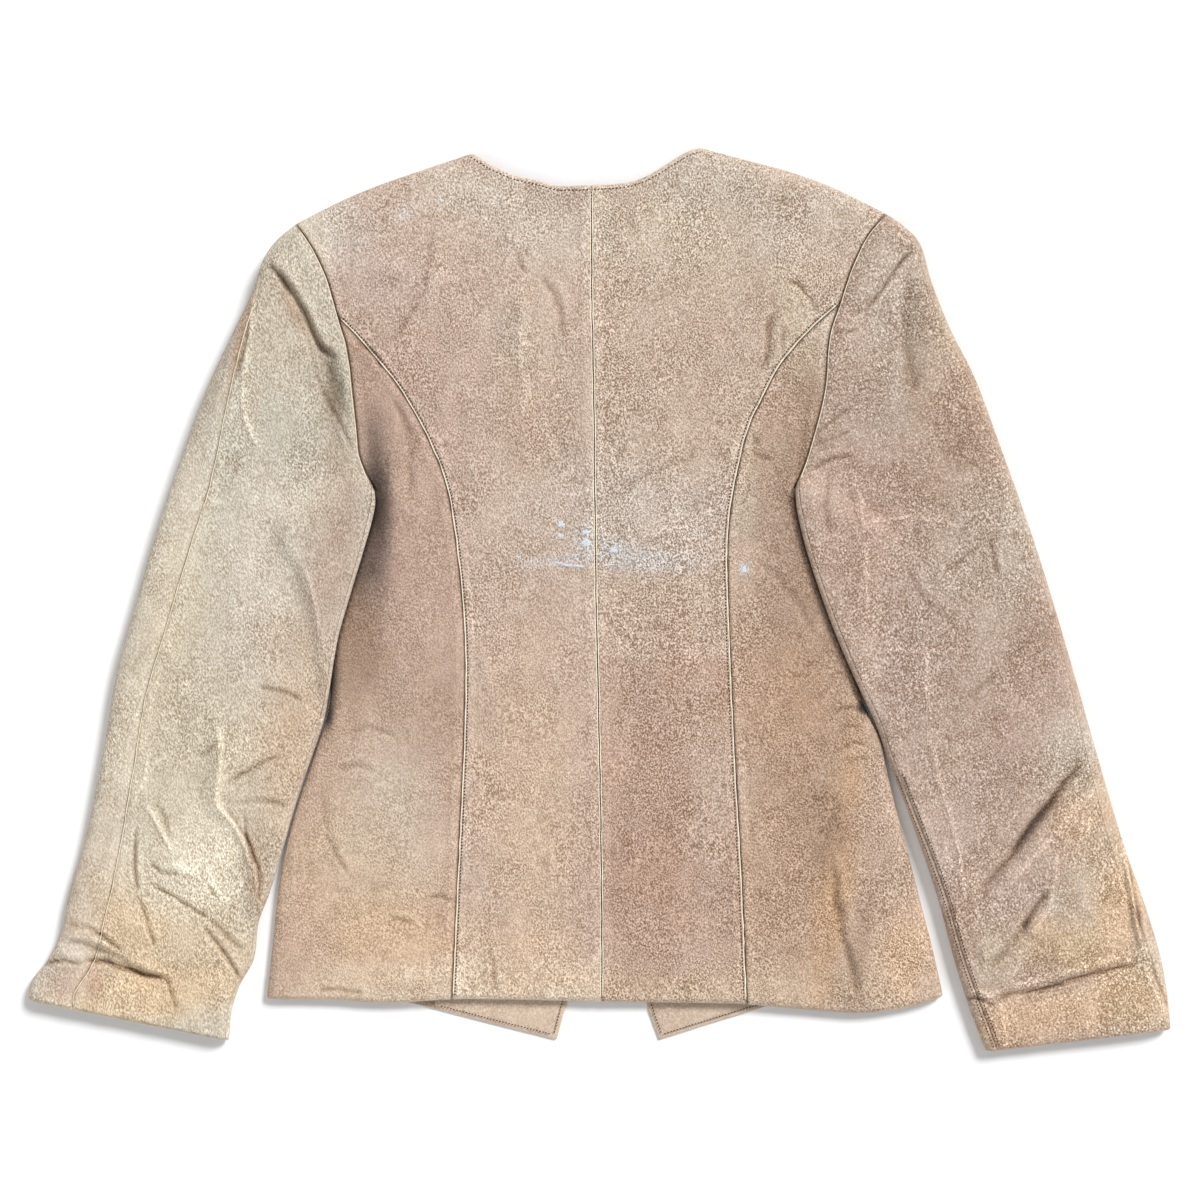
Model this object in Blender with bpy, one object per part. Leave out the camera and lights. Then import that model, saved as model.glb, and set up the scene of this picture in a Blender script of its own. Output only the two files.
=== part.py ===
"""Suede jacket, collarless and waist length, laid flat on its front with the sleeves beside it.

Twelve cut pieces: two centre backs, two side backs, two side fronts, two centre fronts and
two-piece sleeves.  Each piece is a closed wall of suede in its own place.  All tables are in
millimetres with X across the jacket, Y up towards the neck and Z up from the surface that
it lies on; the objects are made in metres.

Run with: blender --background --python part.py
"""
import bpy
import numpy as np
from mathutils import Matrix

MM = 0.001

# Driving sizes
WALL = 1.5                  # thickness of the suede
SEAM_GAP = 0.3              # between two pieces at a seam
STACK_GAP = 0.8             # between a sleeve and the body that it lies on
FOLDED_SLEEVE = 5.4         # height of the sleeve where it is folded flat on the body
EDGE_SHARE = 0.5            # height of a folded edge, as a share of the height inside it
SHOULDER_ROUND = 13.0       # width of the rounding along shoulders and outer sleeve edges
SIDE_ROUND = 10.0           # the same along the body's sides
UNDER_ROUND = 5.0           # the same below every folded edge
INNER_ROUND_TIGHT = 3.8     # inner sleeve edge where it lies on the body
INNER_ROUND_LOOSE = 9.0     # inner sleeve edge beside the skirt
DRAPE_WIDTH = 24.0          # how far the sleeve bridges out past the body's side
UNDERARM_BLEND = 26.0       # how far above the underarm seam the sleeve is lifted
HEIGHT_REACH = 46.0         # how far each row of a height table is felt
HEAD_BLEND = 70.0           # from the armhole to where the sleeve has its own height
SOFT_LIFT = 2.0             # roundness of the change from one height to the other
CARRY_END = -106.0          # the body carries nothing of the sleeve below this level
CARRY_FULL = -64.0          # and all of it above this one
INNER_ROUND_END = -110.0    # the inner sleeve edge is loose below this level
INNER_ROUND_FULL = -40.0    # and tight above this one
FOLD_CLEARANCE = 30.0       # pressed folds fade out over this distance from a folded edge
ARMHOLE_CLEARANCE = 12.0    # and the sleeve's over this distance from the armhole
SLEEVE_CLEARANCE = 40.0     # the body's folds fade out this far before a sleeve that lies on it
CARRIED_FOLDS = 0.3         # share that is left of the sleeve's folds where it lies on the body
PAST_UNDERARM = 30.0        # steps by which the side's line runs on inside the sleeve
ARMHOLE_SETTLED = 0.16      # share of the sleeve over which its seams leave the armhole's points
HEM_COLUMNS_END = 0.70      # share of a panel's height up to which its columns keep the hem's spacing
HEAD_BULGE_END = 0.75       # share of the sleeve over which the armhole's curve fades out

# Outlines and seams: rows of (x, y), in order along the line
CENTRE_BACK = (
    (1.4, -289.8), (0.7, -180.7), (-0.7, -94.0), (-2.9, 0.0), (-4.3, 124.3), (-5.8, 210.3), (-6.5, 298.5))
BACK_HEM_MIDDLE = ((-107.0, -287.6), (-57.8, -288.4), (1.4, -289.8), (50.6, -290.5), (106.2, -291.2))

LEFT = {
    "shoulder": (
        (-219.7, 271.7), (-203.1, 280.4), (-182.8, 290.5), (-160.4, 299.9), (-123.6, 312.9),
        (-94.0, 323.0)),
    "back_neck": (
        (-6.5, 298.5), (-31.8, 298.5), (-44.8, 302.1), (-62.9, 306.4), (-79.5, 313.7), (-94.0, 323.0)),
    "armhole_high": ((-219.7, 271.7), (-206.7, 252.9), (-196.6, 231.3), (-188.6, 203.8)),
    "armhole_low": (
        (-188.6, 203.8), (-182.1, 181.4), (-177.8, 144.5), (-175.6, 122.1), (-173.6, 104.0), (-168.9, 91.5),
        (-162.6, 79.5)),
    "underarm": ((-162.6, 79.5), (-182.0, 61.5), (-206.0, 51.5), (-229.8, 50.0)),
    "back_princess": (
        (-107.0, -287.6), (-101.9, -180.7), (-98.3, -101.2), (-97.6, -28.2), (-104.1, 43.4), (-111.3, 84.6),
        (-120.0, 107.7), (-132.3, 133.0), (-148.9, 159.0), (-169.1, 183.6), (-188.6, 203.8)),
    "side": (
        (-241.4, -287.6), (-236.3, -238.5), (-231.7, -203.8), (-223.8, -177.8), (-215.1, -146.7),
        (-209.6, -127.9),
        (-199.0, -101.7), (-194.0, -86.3), (-193.5, -70.3), (-197.3, -39.7), (-203.1, -8.7), (-213.9, 24.6),
        (-229.8, 50.0)),
    "back_hem": ((-241.4, -287.6), (-195.9, -288.4), (-154.7, -290.5), (-107.0, -287.6)),
    "front_armhole_low": ((-229.8, 50.0), (-230.2, 80.0), (-217.5, 127.0), (-203.8, 180.7)),
    "front_armhole_high": ((-203.8, 180.7), (-208.1, 231.3), (-219.7, 271.7)),
    "front_princess": (
        (-120.0, -296.3), (-125.0, -216.8), (-130.1, -130.1), (-134.4, -43.4), (-141.6, 28.9),
        (-155.4, 94.0),
        (-179.2, 144.5), (-203.8, 180.7)),
    "front_hem_side": ((-241.4, -287.6), (-195.1, -289.1), (-148.2, -290.5), (-120.0, -296.3)),
    "front_hem_tip": ((-120.0, -296.3), (-72.3, -308.6), (-31.8, -318.7)),
    "cutaway": ((-31.8, -318.7), (-25.3, -294.1), (-14.5, -252.9), (-2.9, -209.6), (3.6, -169.8)),
    "centre_front": ((3.6, -169.8), (0.4, -20.0), (-3.3, 226.0)),
    "front_neck": ((-3.3, 226.0), (-34.0, 236.0), (-62.0, 258.0), (-84.0, 290.0), (-94.0, 323.0)),
    "sleeve_outer": (
        (-219.7, 271.7), (-234.9, 258.7), (-243.5, 245.7), (-251.5, 221.9), (-264.5, 195.1),
        (-284.7, 151.8),
        (-305.0, 97.6), (-323.0, 43.4), (-335.3, 0.0), (-349.1, -48.4), (-359.2, -106.2), (-372.2, -169.8),
        (-385.2, -215.4), (-391.0, -242.1), (-399.7, -260.2), (-412.7, -277.5), (-414.1, -288.4)),
    "sleeve_inner": (
        (-162.6, 79.5), (-162.0, 69.5), (-164.8, 55.8), (-171.3, 33.2), (-179.2, 7.2),
        (-188.6, -25.3), (-192.2, -44.1), (-195.4, -65.0), (-200.8, -86.7), (-208.4, -107.0),
        (-221.0, -142.4),
        (-231.0, -177.1), (-239.5, -211.0), (-247.2, -233.4), (-250.8, -260.2), (-260.9, -279.0),
        (-266.7, -297.0),
        (-268.8, -318.0)),
}

RIGHT = {
    "shoulder": (
        (206.7, 279.0), (184.3, 290.5), (162.6, 300.6), (136.6, 310.0), (104.8, 318.7), (75.2, 326.7)),
    "back_neck": ((-6.5, 298.5), (20.2, 300.6), (34.7, 305.7), (51.3, 315.8), (63.6, 323.0), (75.2, 326.7)),
    "armhole_high": ((206.7, 279.0), (193.7, 263.8), (181.4, 239.9), (172.7, 213.9)),
    "armhole_low": (
        (172.7, 213.9), (165.5, 191.5), (161.2, 147.4), (153.9, 117.8), (147.2, 96.0), (140.9, 81.5)),
    "underarm": ((140.9, 81.5), (157.0, 62.0), (179.0, 50.0), (202.4, 47.0)),
    "back_princess": (
        (106.2, -291.2), (101.9, -195.1), (99.0, -144.5), (95.4, -72.3), (92.5, 0.0), (92.5, 50.6),
        (99.7, 96.1), (107.7, 126.5), (116.4, 144.5), (127.9, 166.9), (148.9, 192.2), (172.7, 213.9)),
    "side": (
        (248.6, -286.2), (241.4, -253.7), (232.7, -219.7), (224.8, -185.0), (215.1, -146.0),
        (204.0, -115.6),
        (200.0, -104.1), (195.4, -93.5), (191.4, -83.5), (188.8, -70.0), (187.2, -43.4), (187.9, -14.5),
        (192.2, 14.5), (202.4, 47.0)),
    "back_hem": ((248.6, -286.2), (224.8, -293.4), (190.1, -297.8), (143.1, -294.9), (106.2, -291.2)),
    "front_armhole_low": ((202.4, 47.0), (202.8, 75.0), (192.5, 122.0), (181.7, 180.7)),
    "front_armhole_high": ((181.7, 180.7), (188.6, 231.3), (206.7, 279.0)),
    "front_princess": (
        (129.4, -292.0), (130.1, -216.8), (131.5, -130.1), (134.4, -43.4), (138.8, 28.9), (148.2, 94.0),
        (162.2, 144.5), (181.7, 180.7)),
    "front_hem_side": ((248.6, -286.2), (224.8, -291.5), (190.1, -295.6), (159.0, -292.7), (129.4, -292.0)),
    "front_hem_tip": ((129.4, -292.0), (86.7, -305.0), (43.4, -318.7)),
    "cutaway": ((43.4, -318.7), (34.7, -294.1), (22.4, -252.9), (10.8, -209.6), (5.1, -169.8)),
    "centre_front": ((5.1, -169.8), (1.4, -20.0), (-2.7, 226.0)),
    "front_neck": ((-2.7, 226.0), (24.0, 238.0), (47.0, 260.0), (67.0, 292.0), (75.2, 326.7)),
    "sleeve_outer": (
        (206.7, 279.0), (218.3, 271.0), (230.5, 258.7), (239.9, 229.1), (252.9, 196.6), (271.0, 160.4),
        (290.5, 108.4), (310.8, 52.0), (327.4, 0.0), (346.9, -66.5), (359.9, -112.0), (379.4, -177.1),
        (394.6, -220.4), (405.4, -255.8), (410.5, -281.9), (413.4, -310.0)),
    "sleeve_inner": (
        (140.9, 81.5), (141.6, 67.7), (146.7, 44.1), (151.8, 26.7), (166.9, -16.6),
        (185.7, -60.7), (200.8, -89.6), (209.9, -117.1), (223.3, -150.3), (243.5, -212.5), (257.3, -263.1),
        (267.4, -294.9), (279.0, -325.9)),
}

# Heights of the upper surface: rows of (x, y, height)
BODY_HEIGHTS = (
    (-215, -275, 9.0), (-107, -285, 9.0), (0, -290, 9.0), (108, -290, 9.0), (230, -275, 9.0),
    (-200, -145, 10.0), (-108, -145, 11.5), (0, -145, 12.0), (108, -145, 11.5), (200, -145, 10.0),
    (-185, -72, 9.5), (-95, -30, 13.5), (0, -40, 14.0), (95, -30, 13.5), (180, -72, 9.5),
    (-205, 30, 9.5), (-140, 70, 14.5), (0, 108, 17.0), (130, 70, 14.5), (180, 30, 9.5),
    (-90, 180, 19.0), (90, 180, 19.0), (-210, 245, 23.0), (200, 245, 23.0), (-145, 267, 19.0),
    (130, 267, 19.0),
    (-7, 290, 13.0), (-94, 310, 13.0), (72, 314, 13.0))
SLEEVE_HEIGHTS = (
    (-262, 200, 22.0), (-290, 108, 20.0), (-310, 0, 18.0), (-330, -108, 17.0), (-362, -217, 14.0),
    (-385, -300, 12.0),
    (-185, 60, 12.0), (-205, 0, 11.5), (-215, -72, 12.0), (-245, -145, 13.0), (-265, -217, 13.0),
    (-290, -300, 11.5),
    (252, 200, 22.0), (278, 108, 20.0), (300, 0, 18.0), (330, -108, 17.0), (375, -217, 14.0),
    (395, -310, 12.0),
    (165, 60, 12.0), (185, 0, 11.5), (215, -72, 12.0), (245, -145, 13.0), (268, -217, 13.0),
    (300, -310, 11.5))

# Folds pressed into the upper layer: (start x, y, end x, y, half width, height; a valley is negative)
FOLDS = (
    (-244, 236, -196, 158, 16, -3.0), (-258, 208, -222, 120, 16, 2.6), (-240, 40, -262, -30, 20, 2.0),
    (-275, -90, -272, -150, 16, 2.8), (-266, -160, -246, -222, 15, -2.4), (-330, -146, -300, -205, 15, 2.2),
    (-368, -256, -316, -272, 13, -2.6), (-335, -235, -262, -262, 14, 2.0),
    (225, 250, 188, 205, 14, -2.6), (206, 92, 188, 20, 18, 1.6), (262, -40, 240, -104, 18, 2.0),
    (352, -118, 282, -198, 16, -3.2), (330, -196, 284, -262, 15, 2.8), (372, -176, 326, -246, 15, 2.4),
    (385, -262, 292, -288, 13, -2.2), (-54, 212, -54, 122, 16, 2.0),
    (140, 250, 112, 190, 18, 1.6), (172, -196, 190, -284, 16, 1.8), (-160, -130, -150, -200, 20, 1.4),
    (44, 40, 60, -60, 22, 1.6), (-70, -180, -60, -250, 20, 1.2))

# Seams along the sleeves: rows of (share of the length, elbow seam, inner seam) round the sleeve,
# where 0 is the outer edge, 1 the inner edge over the top and 2 the outer edge again from below
SLEEVE_SEAMS = {
    "left": (
        (0.0, 0.026, 0.985), (0.08, 0.028, 0.985), (0.35, 0.155, 0.985), (0.55, 0.165, 0.985),
        (1.0, 0.225, 0.985)),
    "right": ((0.0, 0.026, 0.979), (0.50, 0.028, 0.979), (0.78, 0.075, 0.958), (1.0, 0.04, 0.940)),
}
UNDERARM_PLACE = 1.55       # where the body's side seam meets the sleeve, in the same measure
FRONT_NOTCH_PLACE = 1.82    # where the front princess seam meets it

# Distances of the points along each seam, in shares of its length
HIGH_STOPS = (0.0, 0.012, 0.030, 0.060, 0.14, 0.30, 0.60, 1.0)
LOW_STOPS = (0.0, 0.24, 0.52, 0.73, 0.88, 0.963, 0.983, 0.994, 1.0)
UNDERARM_STOPS = (0.0, 0.009, 0.026, 0.055, 0.18, 0.42, 0.72, 1.0)
FRONT_LOW_STOPS = (0.0, 0.015, 0.045, 0.12, 0.32, 0.62, 1.0)
FRONT_HIGH_STOPS = (0.0, 0.35, 0.65, 0.84, 0.945, 0.985, 1.0)
FOLDED_EDGE_STOPS = (0.0, 0.008, 0.0256, 0.06)
PRINCESS_ROWS = 28
NECK_STOPS = (0.0, 0.22, 0.42, 0.60, 0.76, 0.89, 0.965, 1.0)
FRONT_NECK_STOPS = (0.0, 0.18, 0.36, 0.54, 0.71, 0.86, 0.95, 0.985, 1.0)
BOTH_FOLDS_CROWDING = 0.11
ONE_FOLD_CROWDING = 1.7
CUTAWAY_ROWS = 8
CENTRE_COLUMNS = 8
RING_SHARES = (
    0.0, 0.008, 0.025, 0.05, 0.085, 0.125, 0.17, 0.215, 0.265, 0.315, 0.365, 0.415, 0.465, 0.515, 0.565,
    0.615, 0.665, 0.715, 0.765, 0.815, 0.86, 0.90, 0.935, 0.968, 1.0)

# Points of the armhole, counted round from the shoulder tip over the top
ELBOW_SEAM_POINT = 3
INNER_FOLD_POINT = len(HIGH_STOPS) + len(LOW_STOPS) - 2
UNDERARM_POINT = INNER_FOLD_POINT + len(UNDERARM_STOPS) - 1
OUTER_FOLD_POINT = UNDERARM_POINT + len(FRONT_LOW_STOPS) + len(FRONT_HIGH_STOPS) - 2
INNER_SEAM_POINT = INNER_FOLD_POINT - 3

# Base colours
SUEDE = {
    "back_left": (0.560, 0.385, 0.235), "back_right": (0.545, 0.365, 0.230),
    "back_side_left": (0.540, 0.370, 0.245), "back_side_right": (0.555, 0.380, 0.235),
    "front_left": (0.560, 0.390, 0.250), "front_right": (0.555, 0.385, 0.245),
    "front_side_left": (0.550, 0.380, 0.245), "front_side_right": (0.550, 0.380, 0.240),
    "sleeve_left_upper": (0.590, 0.425, 0.285), "sleeve_left_under": (0.570, 0.400, 0.260),
    "sleeve_right_upper": (0.560, 0.375, 0.250), "sleeve_right_under": (0.550, 0.370, 0.245),
}


class Line:
    """A smooth plane curve through a table's points, measured along its length."""

    def __init__(self, *tables):
        pieces = [smooth_through(np.array(table, float)) for table in tables]
        joined = [pieces[0]] + [piece[1:] for piece in pieces[1:]]
        self.points = np.concatenate(joined)
        steps = np.linalg.norm(np.diff(self.points, axis=0), axis=1)
        self.along = np.concatenate([[0.0], np.cumsum(steps)])

    def at(self, shares):
        places = np.asarray(shares, float) * self.along[-1]
        x = np.interp(places, self.along, self.points[:, 0])
        y = np.interp(places, self.along, self.points[:, 1])
        return np.stack([x, y], axis=-1)

    def distance(self, points):
        return nearest(points, self.points)


def smooth_through(table, steps=12):
    """Catmull-Rom curve through the rows of a table."""
    if len(table) == 2:
        return table
    before = 2 * table[0] - table[1]
    after = 2 * table[-1] - table[-2]
    knots = np.concatenate([[before], table, [after]])
    shares = np.linspace(0, 1, steps, endpoint=False)[:, None]
    curve = []
    for p0, p1, p2, p3 in zip(knots, knots[1:], knots[2:], knots[3:]):
        gaps = [np.linalg.norm(b - a) ** 0.5 for a, b in ((p0, p1), (p1, p2), (p2, p3))]
        t1, t2 = gaps[0], gaps[0] + gaps[1]
        t3 = t2 + gaps[2]
        t = t1 + shares * (t2 - t1)
        a1 = (t1 - t) / t1 * p0 + t / t1 * p1
        a2 = (t2 - t) / (t2 - t1) * p1 + (t - t1) / (t2 - t1) * p2
        a3 = (t3 - t) / (t3 - t2) * p2 + (t - t2) / (t3 - t2) * p3
        b1 = (t2 - t) / t2 * a1 + t / t2 * a2
        b2 = (t3 - t) / (t3 - t1) * a2 + (t - t1) / (t3 - t1) * a3
        curve.append((t2 - t) / (t2 - t1) * b1 + (t - t1) / (t2 - t1) * b2)
    return np.concatenate(curve + [table[-1:]])


def nearest(points, chain):
    """Distance from each point to a chain of straight pieces."""
    flat = points.reshape(-1, 1, 2)
    start = chain[:-1]
    span = chain[1:] - start
    share = ((flat - start) * span).sum(-1) / np.maximum((span ** 2).sum(-1), 1e-12)
    foot = start + np.clip(share, 0, 1)[..., None] * span
    return np.linalg.norm(flat - foot, axis=-1).min(axis=1).reshape(points.shape[:-1])


def ease(value):
    value = np.clip(value, 0, 1)
    return value * value * (3 - 2 * value)


def eased_interp(places, stops, values):
    index = np.clip(np.searchsorted(stops, places, side="right") - 1, 0, len(stops) - 2)
    share = ease((places - stops[index]) / (stops[index + 1] - stops[index]))
    return values[index] + (values[index + 1] - values[index]) * share


def rounding(distance, width):
    """Quarter of an ellipse: 0 at a folded edge, 1 from the given width inwards."""
    inward = np.clip(distance / width, 0, 1)
    return np.sqrt(np.clip(1 - (1 - inward) ** 2, 0, 1))


def height_from(table, points):
    rows = np.array(table, float)
    square = ((points[..., None, :] - rows[:, :2]) ** 2).sum(-1)
    weight = np.exp(-(square - square.min(axis=-1, keepdims=True)) / (2 * HEIGHT_REACH ** 2))
    return (weight * rows[:, 2]).sum(-1) / weight.sum(-1)


def fold_relief(points):
    total = np.zeros(points.shape[:-1])
    for x0, y0, x1, y1, half_width, height in FOLDS:
        start, span = np.array((x0, y0), float), np.array((x1 - x0, y1 - y0), float)
        share = ((points - start) * span).sum(-1) / (span ** 2).sum()
        foot = start + np.clip(share, 0, 1)[..., None] * span
        across = np.linalg.norm(points - foot, axis=-1) / half_width
        total += height * np.exp(-across ** 2)
    return total


class Side:
    """One side of the jacket: its lines, and the surfaces that they carry."""

    def __init__(self, name, tables):
        self.name = name
        self.line = {key: Line(table) for key, table in tables.items()}
        self.outline = Line(tables["shoulder"][::-1], tables["sleeve_outer"])
        self.seat = Line(tables["armhole_high"], tables["armhole_low"])
        self.sleeve_inner = self.line["sleeve_inner"]
        self.sleeve_outer = self.line["sleeve_outer"]
        side = self.line["side"].points
        past_underarm = side[-1] + PAST_UNDERARM * (side[-1] - side[-2])
        self.side_chain = np.concatenate([side, [past_underarm]])
        self.body_direction = 1.0 if name == "left" else -1.0
        self.underarm_start = np.array(tables["underarm"][0])
        self.underarm_end = np.array(tables["underarm"][-1])

    def inside_side(self, points):
        """Signed distance to the body's side edge, positive over the body."""
        edge_x = np.interp(points[..., 1], self.side_chain[:, 1], self.side_chain[:, 0])
        inside = np.sign((points[..., 0] - edge_x) * self.body_direction)
        return inside * nearest(points, self.side_chain)

    def carried(self, points):
        """Share by which the body carries the sleeve: none above the underarm or below the waist."""
        along = self.underarm_end - self.underarm_start
        upward = np.array((-along[1], along[0])) * self.body_direction / np.linalg.norm(along)
        upward = upward if upward[1] > 0 else -upward
        above = ((points - self.underarm_start) * upward).sum(-1)
        low_share = ease((points[..., 1] - CARRY_END) / (CARRY_FULL - CARRY_END))
        return (1 - ease(above / UNDERARM_BLEND)) * low_share

    def back_rounding(self, points, top_width, side_width):
        along_top = rounding(self.outline.distance(points), top_width)
        return along_top * rounding(self.line["side"].distance(points), side_width)

    def back_height(self, points):
        """Upper face of the back."""
        full = height_from(BODY_HEIGHTS, points)
        share = EDGE_SHARE + (1 - EDGE_SHARE) * self.back_rounding(points, SHOULDER_ROUND, SIDE_ROUND)
        return full * share + self.visible_relief(points)

    def visible_relief(self, points):
        """Folds fade out at folded edges and where a sleeve lies on the body."""
        clear_of_top = ease(self.outline.distance(points) / FOLD_CLEARANCE)
        clear_of_side = ease(self.line["side"].distance(points) / FOLD_CLEARANCE)
        near_sleeve = ease((SLEEVE_CLEARANCE - self.sleeve_inner.distance(points)) / FOLD_CLEARANCE)
        return fold_relief(points) * clear_of_top * clear_of_side * (1 - self.carried(points) * near_sleeve)

    def front_height(self, points):
        """Lower face of the front: on the surface, and turned up at the folded edges."""
        full = height_from(BODY_HEIGHTS, points)
        return full * EDGE_SHARE * (1 - self.back_rounding(points, UNDER_ROUND, UNDER_ROUND))

    def sleeve_under(self, points):
        """Lower face of the sleeve: on the surface, or draped over the body's side."""
        drape = ease(1 + self.inside_side(points) / DRAPE_WIDTH)
        return self.carried(points) * drape * (height_from(BODY_HEIGHTS, points) + STACK_GAP)

    def sleeve_over(self, points):
        """Upper face of the sleeve inside its folded edges."""
        near_body = height_from(BODY_HEIGHTS, points)
        own = height_from(SLEEVE_HEIGHTS, points)
        free = near_body + (own - near_body) * ease(self.seat.distance(points) / HEAD_BLEND)
        needed = self.sleeve_under(points) + FOLDED_SLEEVE
        raised = 0.5 * (free + needed + np.sqrt((free - needed) ** 2 + SOFT_LIFT ** 2))
        return free + (raised - free) * self.carried(points)

    def seat_height(self, points, over):
        """Height of the body's edge, back or front, that a sleeve's first ring is sewn to."""
        return np.where(over, self.back_height(points), self.front_height(points))

    def sleeve_surface(self, points, over):
        """Height of the sleeve's outside at each point, over the top or underneath."""
        low = self.sleeve_under(points)
        high = self.sleeve_over(points)
        tightness = ease((points[..., 1] - INNER_ROUND_END) / (INNER_ROUND_FULL - INNER_ROUND_END))
        inner_width = INNER_ROUND_LOOSE + (INNER_ROUND_TIGHT - INNER_ROUND_LOOSE) * tightness
        from_outer = self.outline.distance(points)
        from_inner = self.sleeve_inner.distance(points)
        top = rounding(from_outer, SHOULDER_ROUND) * rounding(from_inner, inner_width)
        under_width = np.minimum(inner_width, UNDER_ROUND)
        below = rounding(from_outer, UNDER_ROUND) * rounding(from_inner, under_width)
        relief = fold_relief(points) * ease(from_outer / FOLD_CLEARANCE) * ease(from_inner / FOLD_CLEARANCE)
        relief *= ease(self.seat.distance(points) / ARMHOLE_CLEARANCE)
        relief *= 1 - (1 - CARRIED_FOLDS) * self.carried(points)
        upper = low + (high - low) * (EDGE_SHARE + (1 - EDGE_SHARE) * top) + relief
        lower = low + (high - low) * EDGE_SHARE * (1 - below)
        return np.where(over, upper, lower)


def with_height(points, heights):
    return np.concatenate([points, heights[..., None]], axis=-1)


def shares_along(chain):
    steps = np.linalg.norm(np.diff(chain, axis=0), axis=1)
    along = np.concatenate([[0.0], np.cumsum(steps)])
    return along / along[-1]


def point_at(chain, shares):
    own = shares_along(chain)
    return np.stack([np.interp(shares, own, chain[:, 0]), np.interp(shares, own, chain[:, 1])], axis=-1)


def patch(hem, top, outer, inner):
    """Fill four edges: hem and top run from outer to inner, outer and inner run upwards."""
    rows_outer, rows_inner = shares_along(outer)[:, None], shares_along(inner)[:, None]
    columns_hem, columns_top = shares_along(hem)[None], shares_along(top)[None]
    middle_rows = (rows_outer + rows_inner) / 2
    leaving_hem = ease((middle_rows - HEM_COLUMNS_END) / (1 - HEM_COLUMNS_END))
    across = columns_hem + (columns_top - columns_hem) * leaving_hem
    upward = rows_outer + (rows_inner - rows_outer) * across
    right, up = across[..., None], upward[..., None]
    between_rows = (1 - up) * point_at(hem, across) + up * point_at(top, across)
    between_columns = (1 - right) * point_at(outer, upward) + right * point_at(inner, upward)
    low = (1 - right) * hem[0] + right * hem[-1]
    high = (1 - right) * top[0] + right * top[-1]
    return between_rows + between_columns - ((1 - up) * low + up * high)


def chain_of(*parts):
    return np.concatenate([parts[0]] + [part[1:] for part in parts[1:]])


def even(count):
    return np.linspace(0, 1, count + 1)


def edge_crowded(count):
    """Shares that start fine at a folded edge and widen inwards."""
    rest = np.linspace(FOLDED_EDGE_STOPS[-1], 1, count - len(FOLDED_EDGE_STOPS) + 2)[1:]
    return np.concatenate([FOLDED_EDGE_STOPS, rest])


def body_panels(side):
    """The four flat panels of one side, as grids of outside points."""
    line = side.line
    high = line["armhole_high"].at(HIGH_STOPS)
    low = line["armhole_low"].at(LOW_STOPS)
    underarm = line["underarm"].at(UNDERARM_STOPS)
    princess = line["back_princess"].at(even(PRINCESS_ROWS))
    side_edge = line["side"].at(even(PRINCESS_ROWS))
    neck = line["back_neck"].at(NECK_STOPS)
    centre = Line(CENTRE_BACK).at(even(PRINCESS_ROWS))
    hem_line = Line(BACK_HEM_MIDDLE)
    hem_shares = hem_line.along / hem_line.along[-1]
    middle = np.interp(CENTRE_BACK[0][0], hem_line.points[:, 0], hem_shares)
    outer_end = 0.0 if side.name == "left" else 1.0
    back_hem = hem_line.at(outer_end + (middle - outer_end) * even(CENTRE_COLUMNS))
    shoulder = line["shoulder"].at(even(CENTRE_COLUMNS))
    back = patch(back_hem, shoulder, chain_of(princess, high[::-1]), chain_of(centre, neck))

    side_top = chain_of(underarm[::-1], low[::-1])
    side_hem = line["back_hem"].at(edge_crowded(len(side_top) - 1))
    back_side = patch(side_hem, side_top, side_edge, princess)

    front_low = line["front_armhole_low"].at(FRONT_LOW_STOPS)
    front_high = line["front_armhole_high"].at(FRONT_HIGH_STOPS)
    front_princess = line["front_princess"].at(even(PRINCESS_ROWS))
    centre_rows = PRINCESS_ROWS + len(FRONT_HIGH_STOPS) - CUTAWAY_ROWS - len(FRONT_NECK_STOPS)
    inner_edge = chain_of(
        line["cutaway"].at(even(CUTAWAY_ROWS)), line["centre_front"].at(even(centre_rows)),
        line["front_neck"].at(FRONT_NECK_STOPS))
    tip_hem = line["front_hem_tip"].at(even(CENTRE_COLUMNS))
    front_shoulder = line["shoulder"].at(even(CENTRE_COLUMNS))
    front = patch(tip_hem, front_shoulder, chain_of(front_princess, front_high), inner_edge)

    front_side_hem = line["front_hem_side"].at(edge_crowded(len(FRONT_LOW_STOPS) - 1))
    front_side = patch(front_side_hem, front_low, side_edge, front_princess)
    return {
        "back_" + side.name: with_height(back, side.back_height(back)),
        "back_side_" + side.name: with_height(back_side, side.back_height(back_side)),
        "front_" + side.name: with_height(front, side.front_height(front)),
        "front_side_" + side.name: with_height(front_side, side.front_height(front_side)),
    }


def crowded(count, fold_first, fold_last):
    """Shares from 0 to 1 that lie closer together next to a folded edge."""
    shares = even(count)
    if fold_first and fold_last:
        return shares - BOTH_FOLDS_CROWDING * np.sin(2 * np.pi * shares)
    if fold_last:
        return 1 - (1 - shares) ** ONE_FOLD_CROWDING
    return shares ** ONE_FOLD_CROWDING if fold_first else shares


def places_between(stops, start_place, settled):
    """Places round the sleeve, a row for each ring: stops are (armhole point, place, on a fold)."""
    columns = []
    for (first, low, fold_first), (last, high, fold_last) in zip(stops, stops[1:]):
        share = crowded(last - first, fold_first, fold_last)
        later = low[:, None] + (high - low)[:, None] * share
        rows = start_place[first:last + 1] * (1 - settled[:, None]) + later * settled[:, None]
        columns.append(rows if first == stops[0][0] else rows[:, 1:])
    return np.concatenate(columns, axis=1)


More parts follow.
